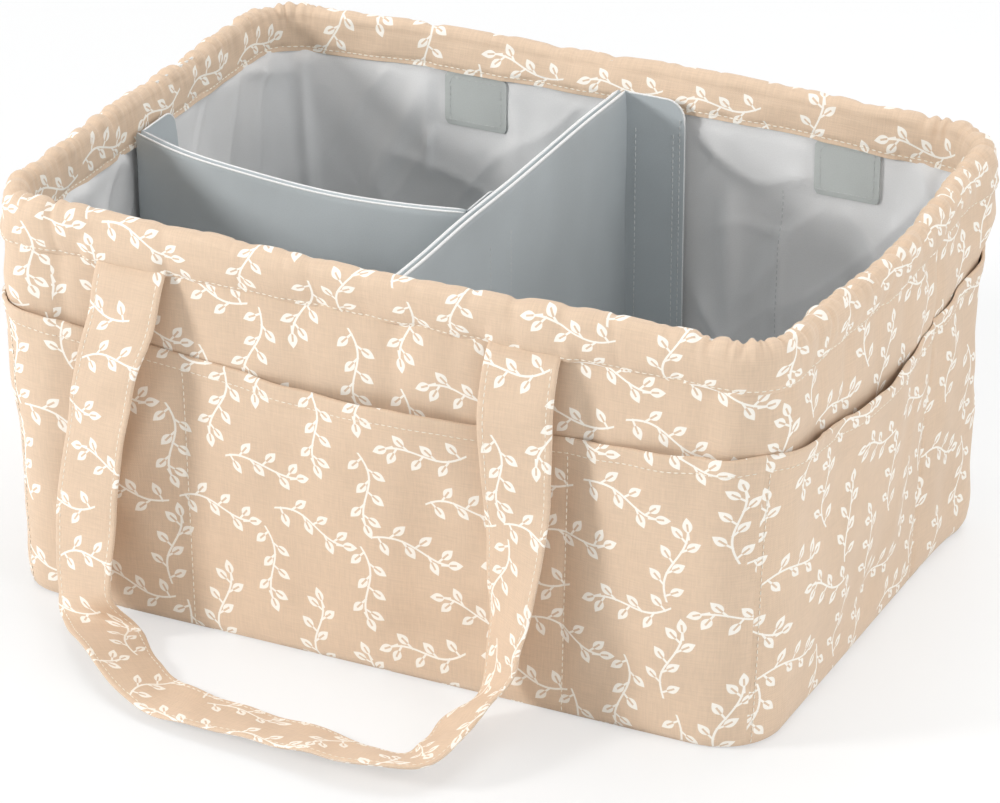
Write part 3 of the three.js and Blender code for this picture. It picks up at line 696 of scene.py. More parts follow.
class Nodes:
    """Short calls that add nodes to a tree and link them."""

    def __init__(self, tree):
        self.tree = tree

    def add(self, kind, inputs=None, **settings):
        node = self.tree.nodes.new(kind)
        for key, value in settings.items():
            setattr(node, key, value)
        for key, value in (inputs or {}).items():
            self.put(value, node.inputs[key])
        return node

    def put(self, value, socket):
        if isinstance(value, bpy.types.NodeSocket):
            self.tree.links.new(value, socket)
        else:
            socket.default_value = value

    def math(self, operation, *values):
        return self.filled(self.add("ShaderNodeMath", operation=operation), values)

    def vector(self, operation, *values):
        return self.filled(self.add("ShaderNodeVectorMath", operation=operation), values)

    def filled(self, node, values):
        for value, socket in zip(values, node.inputs):
            self.put(value, socket)
        return node.outputs[0]

    def scale(self, vector, factor):
        return self.add("ShaderNodeVectorMath", {0: vector, "Scale": factor}, operation="SCALE").outputs[0]

    def group(self, tree, inputs):
        return self.add("ShaderNodeGroup", inputs, node_tree=tree).outputs[0]

    def step(self, value, low, high, out_low=0.0, out_high=1.0):
        inputs = {0: value, 1: low, 2: high, 3: out_low, 4: out_high}
        return self.add("ShaderNodeMapRange", inputs, interpolation_type="SMOOTHSTEP").outputs[0]

    def split(self, vector):
        return self.add("ShaderNodeSeparateXYZ", {0: vector}).outputs

    def turn(self, vector, angle):
        node = self.add("ShaderNodeVectorRotate", {"Vector": vector, "Angle": angle}, rotation_type="Z_AXIS")
        return node.outputs[0]

    def noise(self, vector, scale, detail=2.0, stretch=(1, 1, 1), offset=(0, 0, 0)):
        placed = self.add("ShaderNodeMapping", {"Vector": vector, "Scale": stretch, "Location": offset})
        inputs = {"Vector": placed.outputs[0], "Scale": scale, "Detail": detail}
        return self.add("ShaderNodeTexNoise", inputs).outputs["Fac"]

    def mix(self, share, a, b, blend="MIX"):
        node = self.add("ShaderNodeMix", data_type="RGBA", blend_type=blend)
        for value, socket in zip((share, a, b), (node.inputs[0], node.inputs[6], node.inputs[7])):
            self.put(value, socket)
        return node.outputs[2]

    def tint(self, colour, tone):
        """The colour times a tone."""
        shade = self.add("ShaderNodeCombineColor", {0: tone, 1: tone, 2: tone}).outputs[0]
        return self.mix(1.0, (*colour, 1), shade, "MULTIPLY")


def group_with(name, inputs, outputs):
    """A new shader group with float or vector inputs, and its nodes."""
    tree = bpy.data.node_groups.new(name, "ShaderNodeTree")
    for label, kind in inputs:
        tree.interface.new_socket(label, in_out="INPUT", socket_type=f"NodeSocket{kind}")
    for label in outputs:
        tree.interface.new_socket(label, in_out="OUTPUT", socket_type="NodeSocketFloat")
    nodes = Nodes(tree)
    return nodes, nodes.add("NodeGroupInput").outputs, nodes.add("NodeGroupOutput").inputs


def leaf_group():
    """A small pointed leaf on a stalk, with a slit from its base to its middle."""
    nodes, given, made = group_with("Printed leaf", (
        ("Place", "Vector"), ("Spot", "Vector"), ("Turn", "Float"), ("Size", "Float")), ("Leaf",))
    place = nodes.turn(nodes.vector("SUBTRACT", given["Place"], given["Spot"]), given["Turn"])
    x, y, _ = nodes.split(place)
    x = nodes.math("DIVIDE", x, given["Size"])
    y = nodes.math("ABSOLUTE", nodes.math("DIVIDE", y, given["Size"]))
    belly = nodes.math("SUBTRACT", 1.0, nodes.math("MULTIPLY", x, x))
    round_base = nodes.math("SUBTRACT", 0.58, nodes.math("MULTIPLY", x, 0.16))
    belly = nodes.math("MULTIPLY", belly, nodes.math("MAXIMUM", round_base, 0.3))
    inside = nodes.step(nodes.math("SUBTRACT", belly, y), -0.03, 0.05)
    slit = nodes.math("MAXIMUM", nodes.step(y, 0.09, 0.15), nodes.step(x, 0.10, 0.25))
    middle = nodes.math("ABSOLUTE", nodes.math("ADD", x, 1.35))
    stalk = nodes.math("MULTIPLY", nodes.step(y, 0.17, 0.10), nodes.step(middle, 0.50, 0.45))
    nodes.put(nodes.math("MAXIMUM", nodes.math("MULTIPLY", inside, slit), stalk), made["Leaf"])
    return nodes.tree


def stem_at(height):
    return STEM_SWAY * math.sin(STEM_WAVES * height)


def sprig_group(leaf):
    """Rows of loose sprigs, each turned and shifted by chance: a curved stem with seven leaves."""
    nodes, given, made = group_with("Printed sprigs", (
        ("Place", "Vector"), ("Pitch", "Float"), ("Seed", "Float")), ("Sprigs",))
    cells = nodes.vector("DIVIDE", given["Place"], nodes.add(
        "ShaderNodeCombineXYZ", {0: given["Pitch"], 1: given["Pitch"], 2: 1.0}).outputs[0])
    cell = nodes.vector("FLOOR", cells)
    spot = nodes.vector("SUBTRACT", nodes.vector("FRACTION", cells), (0.5, 0.5, 0.0))
    spot = nodes.scale(spot, given["Pitch"])
    chance = nodes.add("ShaderNodeTexWhiteNoise", {
        "Vector": cell, "W": given["Seed"]}, noise_dimensions="4D").outputs
    drift = nodes.vector("SUBTRACT", chance["Color"], (0.5, 0.5, 0.5))
    shift = nodes.scale(drift, 0.003)
    quarter = nodes.math("FLOOR", nodes.math("MULTIPLY", chance["Value"], 4.0))
    tilt = nodes.math("MULTIPLY", nodes.split(drift)[2], 0.45)
    angle = nodes.math("ADD", nodes.math("MULTIPLY", quarter, math.pi / 2), tilt)
    place = nodes.turn(nodes.vector("SUBTRACT", spot, shift), angle)
    x, y, _ = nodes.split(place)
    sway = nodes.math("MULTIPLY", nodes.math("SINE", nodes.math("MULTIPLY", y, STEM_WAVES)), STEM_SWAY)
    aside = nodes.math("ABSOLUTE", nodes.math("SUBTRACT", x, sway))
    length = nodes.math("ABSOLUTE", nodes.math("ADD", y, STEM_MIDDLE))
    total = nodes.math("MULTIPLY", nodes.step(aside, 0.00062, 0.00038), nodes.step(length, 0.0180, 0.0176))
    leaves = [(stem_at(STEM_TIP), STEM_TIP, 1.85, 0.0037)]
    for foot, turn in LEAF_FEET:
        leaves.append((stem_at(foot) + LEAF_REACH * math.cos(turn), foot + LEAF_REACH * math.sin(turn),
                       turn, 0.0036))
    for leaf_x, leaf_y, turn, size in leaves:
        printed = nodes.group(leaf, {
            "Place": place, "Spot": (leaf_x, leaf_y, 0.0), "Turn": -turn, "Size": size})
        total = nodes.math("MAXIMUM", total, printed)
    nodes.put(total, made["Sprigs"])
    return nodes.tree


def new_finish(name, roughness, sheen=0.0, specular=0.5):
    """A new material with its constants on the shader, its nodes and the shader."""
    material = bpy.data.materials.new(name)
    material.use_nodes = True
    nodes = Nodes(material.node_tree)
    shader = material.node_tree.nodes["Principled BSDF"]
    shader.inputs["Roughness"].default_value = roughness
    shader.inputs["Sheen Weight"].default_value = sheen
    shader.inputs["Sheen Roughness"].default_value = 0.5
    shader.inputs["Specular IOR Level"].default_value = specular
    return material, nodes, shader


def add_bump(nodes, shader, height, strength, distance):
    lifted = nodes.add("ShaderNodeBump", {"Strength": strength, "Distance": distance, "Height": height})
    nodes.put(lifted.outputs[0], shader.inputs["Normal"])


def cloth_place(nodes):
    return nodes.add("ShaderNodeUVMap", uv_map="cloth").outputs[0]


def object_place(nodes):
    return nodes.add("ShaderNodeTexCoord").outputs["Object"]


def weave_height(nodes, place, threads):
    """Over and under of a plain weave with that many threads to the metre."""
    across, along, _ = nodes.split(nodes.scale(place, threads * 2 * math.pi))
    return nodes.math("MULTIPLY", nodes.math("SINE", across), nodes.math("SINE", along))


def printed_cotton(name):
    """Beige cotton with slubs and a loose cream print of sprigs."""
    material, nodes, shader = new_finish(name, 0.64, sheen=0.12, specular=0.42)
    place = cloth_place(nodes)
    sprigs = sprig_group(leaf_group())
    pitch = sizes().sprig_pitch
    printed = nodes.math("MAXIMUM", *(
        nodes.group(sprigs, {
            "Place": nodes.vector("ADD", place, (shift, shift, 0.0)), "Pitch": pitch, "Seed": seed})
        for seed, shift in ((3.0, 0.0), (8.0, pitch / 2))))
    slub_across = nodes.noise(place, 1.0, 3.0, (90, 1500, 1))
    slub_along = nodes.noise(place, 1.0, 3.0, (1500, 110, 1), (7, 3, 0))
    patch = nodes.noise(place, 22.0, 2.0)
    slub = nodes.math("ADD", slub_across, slub_along)
    tone = nodes.math(
        "ADD", nodes.step(slub, 0.6, 1.4, 0.93, 1.05), nodes.step(patch, 0.3, 0.7, -0.02, 0.02))
    ground = nodes.tint(colours().cotton, tone)
    worn = nodes.math("MULTIPLY", printed, nodes.step(slub, 0.55, 1.0, 0.92, 1.0))
    nodes.put(nodes.mix(worn, ground, (*colours().print_cream, 1)), shader.inputs["Base Color"])
    weave = nodes.math("ADD", nodes.math("MULTIPLY", weave_height(nodes, place, 1100.0), 0.25), slub)
    add_bump(nodes, shader, weave, 0.35, 0.00035)
    return material


def coated_cloth(name, colour, roughness):
    """Smooth coated polyester with a fine rib and faint cloudy folds."""
    material, nodes, shader = new_finish(name, roughness, sheen=0.05, specular=0.5)
    place = cloth_place(nodes)
    cloud = nodes.noise(place, 16.0, 3.0, (1, 0.6, 1))
    grain = nodes.noise(place, 1.0, 2.0, (1700, 1700, 1))
    tone = nodes.math(
        "ADD", nodes.step(cloud, 0.3, 0.7, 0.93, 1.05), nodes.step(grain, 0.2, 0.8, -0.03, 0.03))
    nodes.put(nodes.tint(colour, tone), shader.inputs["Base Color"])
    rough = nodes.step(cloud, 0.25, 0.75, roughness - 0.05, roughness + 0.06)
    nodes.put(rough, shader.inputs["Roughness"])
    crumple = nodes.noise(place, 42.0, 3.0, (1, 0.55, 1), (2, 5, 0))
    height = nodes.math("ADD", nodes.math("MULTIPLY", crumple, 6.0), weave_height(nodes, place, 1500.0))
    add_bump(nodes, shader, height, 0.45, 0.0005)
    return material


def thread_finish(name, colour):
    """Fine twisted fibres, for sewing thread and for the dividers' edges."""
    material, nodes, shader = new_finish(name, 0.65, sheen=0.2, specular=0.35)
    fibre = nodes.noise(object_place(nodes), 2400.0, 2.0)
    tone = nodes.step(fibre, 0.3, 0.7, 0.86, 1.06)
    nodes.put(nodes.tint(colour, tone), shader.inputs["Base Color"])
    add_bump(nodes, shader, fibre, 0.3, 0.0002)
    return material


def grip_finish(name):
    """Fuzzy hook and loop tape."""
    material, nodes, shader = new_finish(name, 0.95, sheen=0.4, specular=0.2)
    place = cloth_place(nodes)
    fuzz = nodes.noise(place, 1900.0, 3.0)
    rows = weave_height(nodes, place, 620.0)
    tone = nodes.math("ADD", nodes.step(fuzz, 0.3, 0.7, 0.80, 1.05), nodes.math("MULTIPLY", rows, 0.06))
    nodes.put(nodes.tint(TAPE_COLOUR, tone), shader.inputs["Base Color"])
    add_bump(nodes, shader, nodes.math("ADD", rows, fuzz), 0.6, 0.0005)
    return material


def elastic_finish(name):
    """White knitted elastic with ribs along it."""
    material, nodes, shader = new_finish(name, 0.8, sheen=0.15, specular=0.3)
    knit = weave_height(nodes, cloth_place(nodes), 480.0)
    tone = nodes.step(knit, -1.0, 1.0, 0.80, 1.0)
    nodes.put(nodes.tint(ELASTIC_COLOUR, tone), shader.inputs["Base Color"])
    add_bump(nodes, shader, knit, 0.5, 0.0004)
    return material


def board_finish(name):
    """Pressed fibre board with flecks."""
    material, nodes, shader = new_finish(name, 0.85, specular=0.3)
    place = object_place(nodes)
    fleck = nodes.noise(place, 480.0, 4.0)
    cloud = nodes.noise(place, 30.0, 2.0)
    tone = nodes.math(
        "ADD", nodes.step(fleck, 0.3, 0.7, 0.84, 1.06), nodes.step(cloud, 0.3, 0.7, -0.05, 0.05))
    nodes.put(nodes.tint(BOARD_COLOUR, tone), shader.inputs["Base Color"])
    add_bump(nodes, shader, fleck, 0.3, 0.0004)
    return material


FINISHES = {
    "printed_cotton": printed_cotton,
    "grey_lining": lambda name: coated_cloth(name, colours().lining, 0.42),
    "divider_cloth": lambda name: coated_cloth(name, colours().divider, 0.40),
    "patch_cloth": lambda name: coated_cloth(name, colours().patch, 0.45),
    "divider_edge": lambda name: thread_finish(name, colours().edge),
    "cotton_thread": lambda name: thread_finish(name, colours().thread),
    "grey_thread": lambda name: thread_finish(name, colours().grey_thread),
    "grip_tape": grip_finish,
    "elastic": elastic_finish,
    "stiffener": board_finish,
}


def finish(name):
    """The named material, made at its first use."""
    full_name = f"{name}_finish"
    return bpy.data.materials.get(full_name) or FINISHES[name](full_name)


# Basket

def at_strap_end(distance):
    """1 across a strap end and the patch behind it, 0 beside them."""
    near = 0.0
    for place in STRAP_PLACES:
        near = np.maximum(near, 1 - smooth(0.0155, 0.0215, np.abs(round_gap(distance, place))))
    return near


def hem_lift(distance, height, share, crest):
    """How far the casing's hems stand off: outside over a strap end, inside over its patch."""
    outside = STRAP_LIFT * (1 - smooth(HEM + 0.004, HEM + 0.016, height)) * (share < crest)
    inside = PATCH_LIFT * smooth(crest + 0.1, 0.95, share)
    return at_strap_end(distance) * (outside - inside)


def cover_puff(distance, height):
    """How far the cover stands out: the bow of the wall, the swell over the pocket mouths and soft folds."""
    loose = on_long_wall(distance)
    swell = 0.0012 + 0.0006 * (1 - loose)
    rise = smooth(*MOUTH_SWELL, height) * (1 - smooth(0.148, HEM - 0.001, height))
    lumps = 0.75 + 0.3 * ripple(distance, height, 0.045, seed=21)
    seam = 1 - 0.7 * at_cover_seam(distance, 0.004)
    drapes = lay_folds(sizes().seed + 2, 0.040, 0.022, 0.0050, 0.006)
    folded = fullness(drapes, distance, (HEM - height) / 0.05) - USUAL_FULLNESS
    soft = 0.0017 * folded * smooth(HEM - 0.060, HEM - 0.020, height)
    corner = corner_out(distance, corner_amounts(height))
    out = bow(distance, HEM_BOW) * smooth(0.02, HEM, height) + swell * rise * lumps * seam + soft
    groove = 0.0010 * at_cover_seam(distance, 0.0012)
    return np.maximum(out + corner - groove, -0.0007)


def make_shell():
    close = np.linspace(-0.004, 0.004, 17)
    distance = np.concatenate((places_round(WALL_STEPS), *(place + close for place in COVER_SEAMS)))
    distance = np.sort(distance)[:, None]
    height = np.concatenate((np.linspace(COVER_LOW.z, 0.120, 12), np.linspace(0.123, COVER_HIGH.z, 34)))
    front_height = np.broadcast_to(height, (len(distance), len(height)))
    front = wall(distance, -cover_puff(distance, front_height), front_height)
    back_height = height[[0, 6, 11, 30, 45]]
    back = wall(distance, COVER_THICKNESS, back_height[None])
    cover = add_cloth("outer_cover_cloth", [ring_sheet(distance, front, back, height, back_height)],
                      "printed_cotton", "basket", ["outer_cover"])

    base = add_cloth("base_cover_cloth", [round_panel(0, BASE_LOW.z, BASE_HIGH.z)],
                     "printed_cotton", "basket", ["base_cover"])

    up = np.linspace(0.130, HEM - 0.001, 14)
    lines = [wall(place, -cover_puff(np.full_like(up, place), up) - STITCH_LIFT, up)
             for place in COVER_SEAMS]
    sew("cover_seam_stitches", lines, "cotton_thread", "basket", thread=0.7)


def rim_lean(distance, share, crest):
    """How far the casing leans out with the wall and its corners; nothing is left at the inner hem."""
    climb = smooth(0, crest, share)
    outside = bow(distance, HEM_BOW) * (1 - climb) + bow(distance, CREST_BOW) * climb
    full = smooth(0, 0.45 * crest, share)
    corner = corner_out(distance, CORNER_OUT[:, -1]) * (1 - full)
    corner = corner + corner_out(distance, RIM_CORNER) * full
    return outside * (1 - smooth(crest, 1, share)) + corner * (1 - smooth(0.6 * crest, 1, share))


def rim_skin(distance, share):
    """Offset and height of the casing's outer skin; share goes from the outer hem to the inner."""
    profile, _, _ = curve_through(RIM_PROFILE, 200)
    step = unit(np.gradient(profile, axis=0))
    table = np.linspace(0, 1, len(profile))
    crest = table[profile[:, 1].argmax()]
    distance, share = np.broadcast_arrays(distance, share)
    offset, height, run_o, run_h = (
        np.interp(share, table, column) for column in (*profile.T, *step.T))
    outside = 1 - smooth(crest - 0.08, crest + 0.16, share)
    near = bump(crest, 0.17, share)
    rise = np.clip(share / crest, 0, 1)
    pleated = fullness(pleats(), distance, rise, 0.45 + 0.55 * np.abs(2 * rise - 1) ** 1.5)
    ruched = (fullness(ruches(), distance, rise) - USUAL_FULLNESS) * (1 - 0.7 * on_long_wall(distance))
    belly = np.sin(np.pi * np.clip(share / (crest + 0.12), 0, 1)) ** 0.6
    swell = sizes().gather_full * belly * pleated
    swell = swell + 0.0016 * near * ruched
    swell = swell + 0.00045 * outside * ripple(distance, share * 0.05, 0.030, seed=5)
    swell = swell + 0.00040 * (1 - outside) * ripple(distance, share * 0.05, 0.024, seed=6)
    swell = swell - 0.0010 * outside * belly * at_cover_seam(distance, 0.0026)
    pucker = 0.00025 * ripple(distance, 0 * share, 0.011, seed=8)
    swell = swell - (0.0005 + pucker) * (bump(OUTER_SEAM, 0.020, share) + bump(INNER_SEAM, 0.020, share))
    swell = np.maximum(swell, -0.0009)
    wavy = near * (0.0011 * ripple(distance, 0 * share, 0.120, seed=7) + 0.0007 * ruched)
    rest = np.abs(np.mod(distance, PERIMETER / 2) / STRAIGHT[0] * 2 - 1)
    drop = 0.0035 * smooth(0.55, 1.0, rest) * smooth(crest, 1, share)
    out_h = HEM + height + run_o * swell + wavy - drop
    out_o = offset - run_h * swell - rim_lean(distance, share, crest)
    return out_o - hem_lift(distance, out_h, share, crest), out_h


def make_rim():
    distance = places_round(RIM_STEPS)[:, None]
    share = np.linspace(0, 1, 50)[None]
    front = wall(distance, *rim_skin(distance, share))
    inner, _, _ = curve_through(RIM_PROFILE + RIM_DEPTH, 14)
    inner_share = np.linspace(0, 1, len(inner))[None]
    top = inner_share[0, inner[:, 1].argmax()]
    inner_offset = inner[None, :, 0] - rim_lean(distance, inner_share, top)
    inner_offset = inner_offset - hem_lift(distance, HEM + inner[None, :, 1], inner_share, top)
    back = wall(distance, inner_offset, HEM + inner[None, :, 1])
    shell = ring_sheet(distance, front, back, HEM + CASING_WIDTH * share[0],
                       HEM + CASING_WIDTH * inner_share[0])
    casing = add_cloth("rim_casing_cloth", [shell], "printed_cotton", "basket", ["rim_casing"], crisp=70)

    ring = np.linspace(0, PERIMETER, RIM_STEPS + 1)
    lines = []
    for at, lift in ((OUTER_SEAM, -0.00012), (INNER_SEAM, 0.00012)):
        offset, height = rim_skin(ring, np.full_like(ring, at))
        lines.append(wall(ring, offset + lift, height))
    sew("rim_stitches", lines, "cotton_thread", "basket", thread=1.25)
    make_elastic()


def make_elastic():
    low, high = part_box("rim_elastic")
    rows = np.linspace(low.z, high.z, 25)
    half = 0.00062 - 0.00012 * np.cos(np.linspace(0, 12 * math.pi, 25))
    distance = places_round(ELASTIC_STEPS)[:, None]
    follow = 0.8 * bow(distance, CREST_BOW) + 0.75 * corner_out(distance, RIM_CORNER)
    middle = 0.0030 - follow * smooth(HEM, CREST - 0.006, rows)[None]
    front = wall(distance, middle - half[None], rows[None])
    back = wall(distance, middle + half[None], rows[None])
    band = add_cloth("rim_elastic_band", [ring_sheet(distance, front, back, rows, rows)],
                     "elastic", "basket", ["rim_elastic"])


def pocket_seams(side):
    return SHORT_SEAMS if side % 2 else LONG_SEAMS


def pocket_ends(side):
    """The corner seams of a pocket panel."""
    start = SIDE_START[side]
    return start - ARC / 2, start + STRAIGHT[side % 2] + ARC / 2


def pocket_skin(side, distance, row):
    """Offset and height of a pocket's inner skin; row goes from its foot to its edge."""
    gapes = (1.0, 0.4) if side % 2 else (0.75, 1.0, 0.8)
    first, last = pocket_ends(side)
    bounds = np.array((first, *(MIDDLE[side] + seam for seam in pocket_seams(side)), last))
    cell = np.clip(np.searchsorted(bounds, distance) - 1, 0, len(bounds) - 2)
    share = np.clip((distance - bounds[cell]) / (bounds[cell + 1] - bounds[cell]), 0, 1)
    arch = np.clip(np.sin(np.pi * share), 0, 1)
    gape = sizes().pocket_gape * np.array(gapes)[cell]
    sag = sizes().pocket_sag * np.sin(np.pi * (distance - first) / (last - first))
    droop = 0.0012 * ripple(distance, 0 * distance, 0.09, seed=31 + side)
    edge = sizes().pocket_top - sag + droop * arch
    height = FOOT + (edge - FOOT) * row
    free = arch ** 0.5
    lumps = 0.0017 * ripple(distance, height, 0.085, seed=41 + side)
    lumps = lumps + 0.0009 * ripple(distance, height, 0.032, seed=51)
    lumps = lumps * free * smooth(0.02, 0.25, row)
    pulls = 0.0
    for seam in bounds[1:-1]:
        for way in (-1, 1):
            reach = (seam + way * 0.045, 0.055 + 0.02 * way)
            pulls = pulls + 0.0014 * crease(distance, height, (seam, edge.max() - 0.004), reach, 0.006)
    belly = gape * arch ** 1.1 * row ** 0.8 + 0.0022 * free * np.sin(np.pi * np.clip(row, 0, 1)) ** 0.8
    own = np.maximum(belly + lumps, 0.15 * belly) + pulls * free
    foot = 0.0016 * bump(0.012, 0.010, height) * free
    tuck = smooth(-0.001, 0.0045, height)
    out = cover_puff(distance, height) + own + foot * tuck - 0.0012 * (1 - tuck)
    return -(0.0003 + out), height, edge


def make_pockets():
    for side, name in enumerate(SIDES):
        count = 170 if side % 2 else 250
        travel = np.linspace(*pocket_ends(side), count)
        rows = np.concatenate((np.linspace(0, 0.12, 14, endpoint=False), np.linspace(0.12, 0.88, 44),
                               np.linspace(0.885, 1, 24)))
        distance, row = np.meshgrid(travel, rows, indexing="ij")
        offset, height, edge = pocket_skin(side, distance, row)
        below = edge - height
        hem = sizes().pocket_hem
        thick = POCKET_CLOTH + POCKET_HEM_CLOTH * (1 - smooth(hem - 0.0006, hem + 0.0004, below))
        thick = thick - 0.00045 * bump(hem - HEM_SEAM_INSET, 0.0008, below)
        thick = thick * (1 - 0.55 * (1 - smooth(0, 0.0009, below)))
        back_offset = offset + 0.25 * (thick - POCKET_CLOTH) * (below < 0.001)
        front = wall(distance, offset - thick, height)
        back = wall(distance, back_offset, height)
        uv = np.stack((distance + 0.017 * (side + 1), height + 0.031 * (side + 1)), -1)
        pocket = add_cloth(f"{name}_pocket_cloth", [loft(*two_skins(front, back, uv, uv))],
                           "printed_cotton", "basket", [f"{name}_pocket"], crisp=60)
        make_pocket_stitches(side, name)


def pocket_line(side, distance, row):
    distance, row = np.broadcast_arrays(distance, row)
    offset, height, _ = pocket_skin(side, distance, row)
    return wall(distance, offset - POCKET_FACE - STITCH_LIFT, height)


def make_pocket_stitches(side, name):
    """Edge stitching, pocket seams and a corner seam."""
    first, last = pocket_ends(side)
    edge_row = 1 - (sizes().pocket_hem - HEM_SEAM_INSET) / (sizes().pocket_top - FOOT)
    lines = [pocket_line(side, np.linspace(first + 0.004, last - 0.004, 260), edge_row)]
    rows = np.linspace(0.015, 0.975, 90)
    for place in (*(MIDDLE[side] + seam for seam in pocket_seams(side)), first + 0.0022):
        lines.append(pocket_line(side, place, rows))
    sew(f"{name}_pocket_stitches", lines, "cotton_thread", "basket")


# Inside

def lining_fold(distance, height):
    """How far the lining stands in from the wall in soft folds; flat behind tapes and patches."""
    fold = 0.0019 * (0.5 + 0.5 * ripple(distance + 0.45 * height, height, 0.046, seed=61, stretch=3.2))
    ridge = 1 - np.abs(ripple(distance - 0.60 * height, height, 0.075, seed=63, stretch=2.6))
    fold = fold + 0.0026 * np.clip(ridge, 0, 1) ** 6
    across = 1 - np.abs(ripple(distance + 0.70 * height, height, 0.055, seed=64, stretch=2.2))
    fold = fold + 0.0013 * np.clip(across, 0, 1) ** 5
    fine = ripple(distance + 0.30 * height, height, 0.020, seed=62, stretch=2.0)
    fold = fold + 0.0008 * (0.5 + 0.5 * fine)
    for side, along, low, to_along, high, width, depth in LINING_CREASES:
        start, end = (MIDDLE[side] + along, low), (MIDDLE[side] + to_along, high)
        fold = fold + depth * crease(distance, height, start, end, width)
    flat = 1 - smooth(LINING_HIGH.z - 0.012, LINING_HIGH.z - 0.005, height)
    for side, along, half in LINING_TAPES:
        flat = flat * smooth(half - 0.004, half + 0.010, np.abs(round_gap(distance, MIDDLE[side] + along)))
    for place in STRAP_PLACES:
        near = 1 - smooth(0.016, 0.026, np.abs(round_gap(distance, place)))
        flat = flat * (1 - near * smooth(*PATCH_RISE, height))
    return np.clip(fold, 0, LINING_FOLD_MOST) * flat * smooth(LINING_LOW.z, LINING_LOW.z + 0.012, height)


def make_lining():
    distance = places_round(WALL_STEPS)[:, None]
    rows = np.linspace(LINING_LOW.z, LINING_HIGH.z, 74)
    height = np.broadcast_to(rows, (len(distance), len(rows)))
    front = wall(distance, LINING_FACE + lining_fold(distance, height), height)
    back_rows = rows[[0, 24, 48, 73]]
    back = wall(distance, LINING_BACK, back_rows[None])
    walls = add_cloth("lining_wall_cloth", [ring_sheet(distance, front, back, rows, back_rows)],
                      "grey_lining", "basket", ["lining_walls"])

    def dip(x, y):
        return 0.0003 * (0.5 + 0.5 * ripple(x + 0.3, y, 0.07, seed=71))

    panel = round_panel(LINING_FACE + 0.0003, FLOOR_LOW.z, FLOOR_HIGH.z, dip)
    floor = add_cloth("lining_floor_cloth", [panel], "grey_lining", "basket", ["lining_floor"])
    up = np.linspace(0.014, 0.146, 60)
    lines = []
    for side in (BACK, FRONT):
        place = np.full_like(up, MIDDLE[side] + LINING_SEAM)
        lines.append(wall(place, LINING_FACE + lining_fold(place, up) + STITCH_LIFT, up))
    sew("lining_seam_stitches", lines, "grey_thread", "basket", thread=0.8)
    make_patches()


def round_drop(past, radius):
    """How far a rounded corner has dropped, a way past the start of its rounding."""
    past = np.clip(past, 0, radius)
    return radius - np.sqrt(np.clip(radius ** 2 - past ** 2, 0, None))


def make_patches():
    """The patches on the lining that spread the pull of the strap ends."""
    inset = PATCH_SEAM_INSET
    lines = []
    for wall_name, inward in (("front", 1), ("back", -1)):
        for hand in ("left", "right"):
            node = f"{wall_name}_{hand}_anchor_patch"
            low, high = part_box(node)
            along = np.linspace(low.x, high.x, 24)
            path = np.stack((along, np.full_like(along, (low.y + high.y) / 2)), -1)
            past = np.abs(along - (low.x + high.x) / 2) - (high.x - low.x) / 2 + PATCH_CORNER
            drop = round_drop(past, PATCH_CORNER)
            shell = upright_cloth(path, (0, inward), high.y - low.y, low.z + drop, high.z - drop, 22)
            patch = add_cloth(f"{node}_cloth", [shell], "patch_cloth", "basket", [node])
            face = (high.y if inward > 0 else low.y) + inward * STITCH_LIFT
            x0, x1, z0, z1 = low.x + inset, high.x - inset, low.z + inset, high.z - inset
            lines.append([(x, face, z) for x, z in ((x0, z0), (x1, z0), (x1, z1), (x0, z1), (x0, z0))])
    sew("anchor_patch_stitches", lines, "grey_thread", "basket", thread=0.7)


# Handles

def strap_frame(count):
    """Centre, width direction, face direction and length along a handle strap on the front."""
    rows = STRAP_ROUTE * np.array((0.001, 0.001, 0.001, math.pi / 180, math.pi / 180))
    centre, place, length = curve_through(
        np.stack((rows[:, 0], BASE_LOW.y - rows[:, 1], rows[:, 2]), -1), count)
    heading, tilt = (np.interp(place, np.arange(len(rows)), rows[:, k]) for k in (3, 4))
    across = np.stack((np.cos(heading) * np.cos(tilt), np.sin(heading) * np.cos(tilt), np.sin(tilt)), -1)
    soften = np.exp(-np.linspace(-2, 2, 13) ** 2)
    padded = np.pad(across, ((6, 6), (0, 0)), mode="edge")
    across = unit(np.stack([np.convolve(column, soften / soften.sum(), "valid") for column in padded.T], -1))
    face = unit(np.cross(across, np.gradient(centre, axis=0)))
    return centre, across, face, length


def strap_lift_at(length, aside):
    """Small waves of the strap's face, along and across it."""
    wave = 0.0005 * ripple(length * 0.9, aside, 0.030, seed=81)
    wave = wave + 0.0004 * ripple(length, aside * 2, 0.075, seed=82)
    end = length.max()
    return wave * smooth(0.004, 0.03, length) * (1 - smooth(end - 0.03, end - 0.004, length))


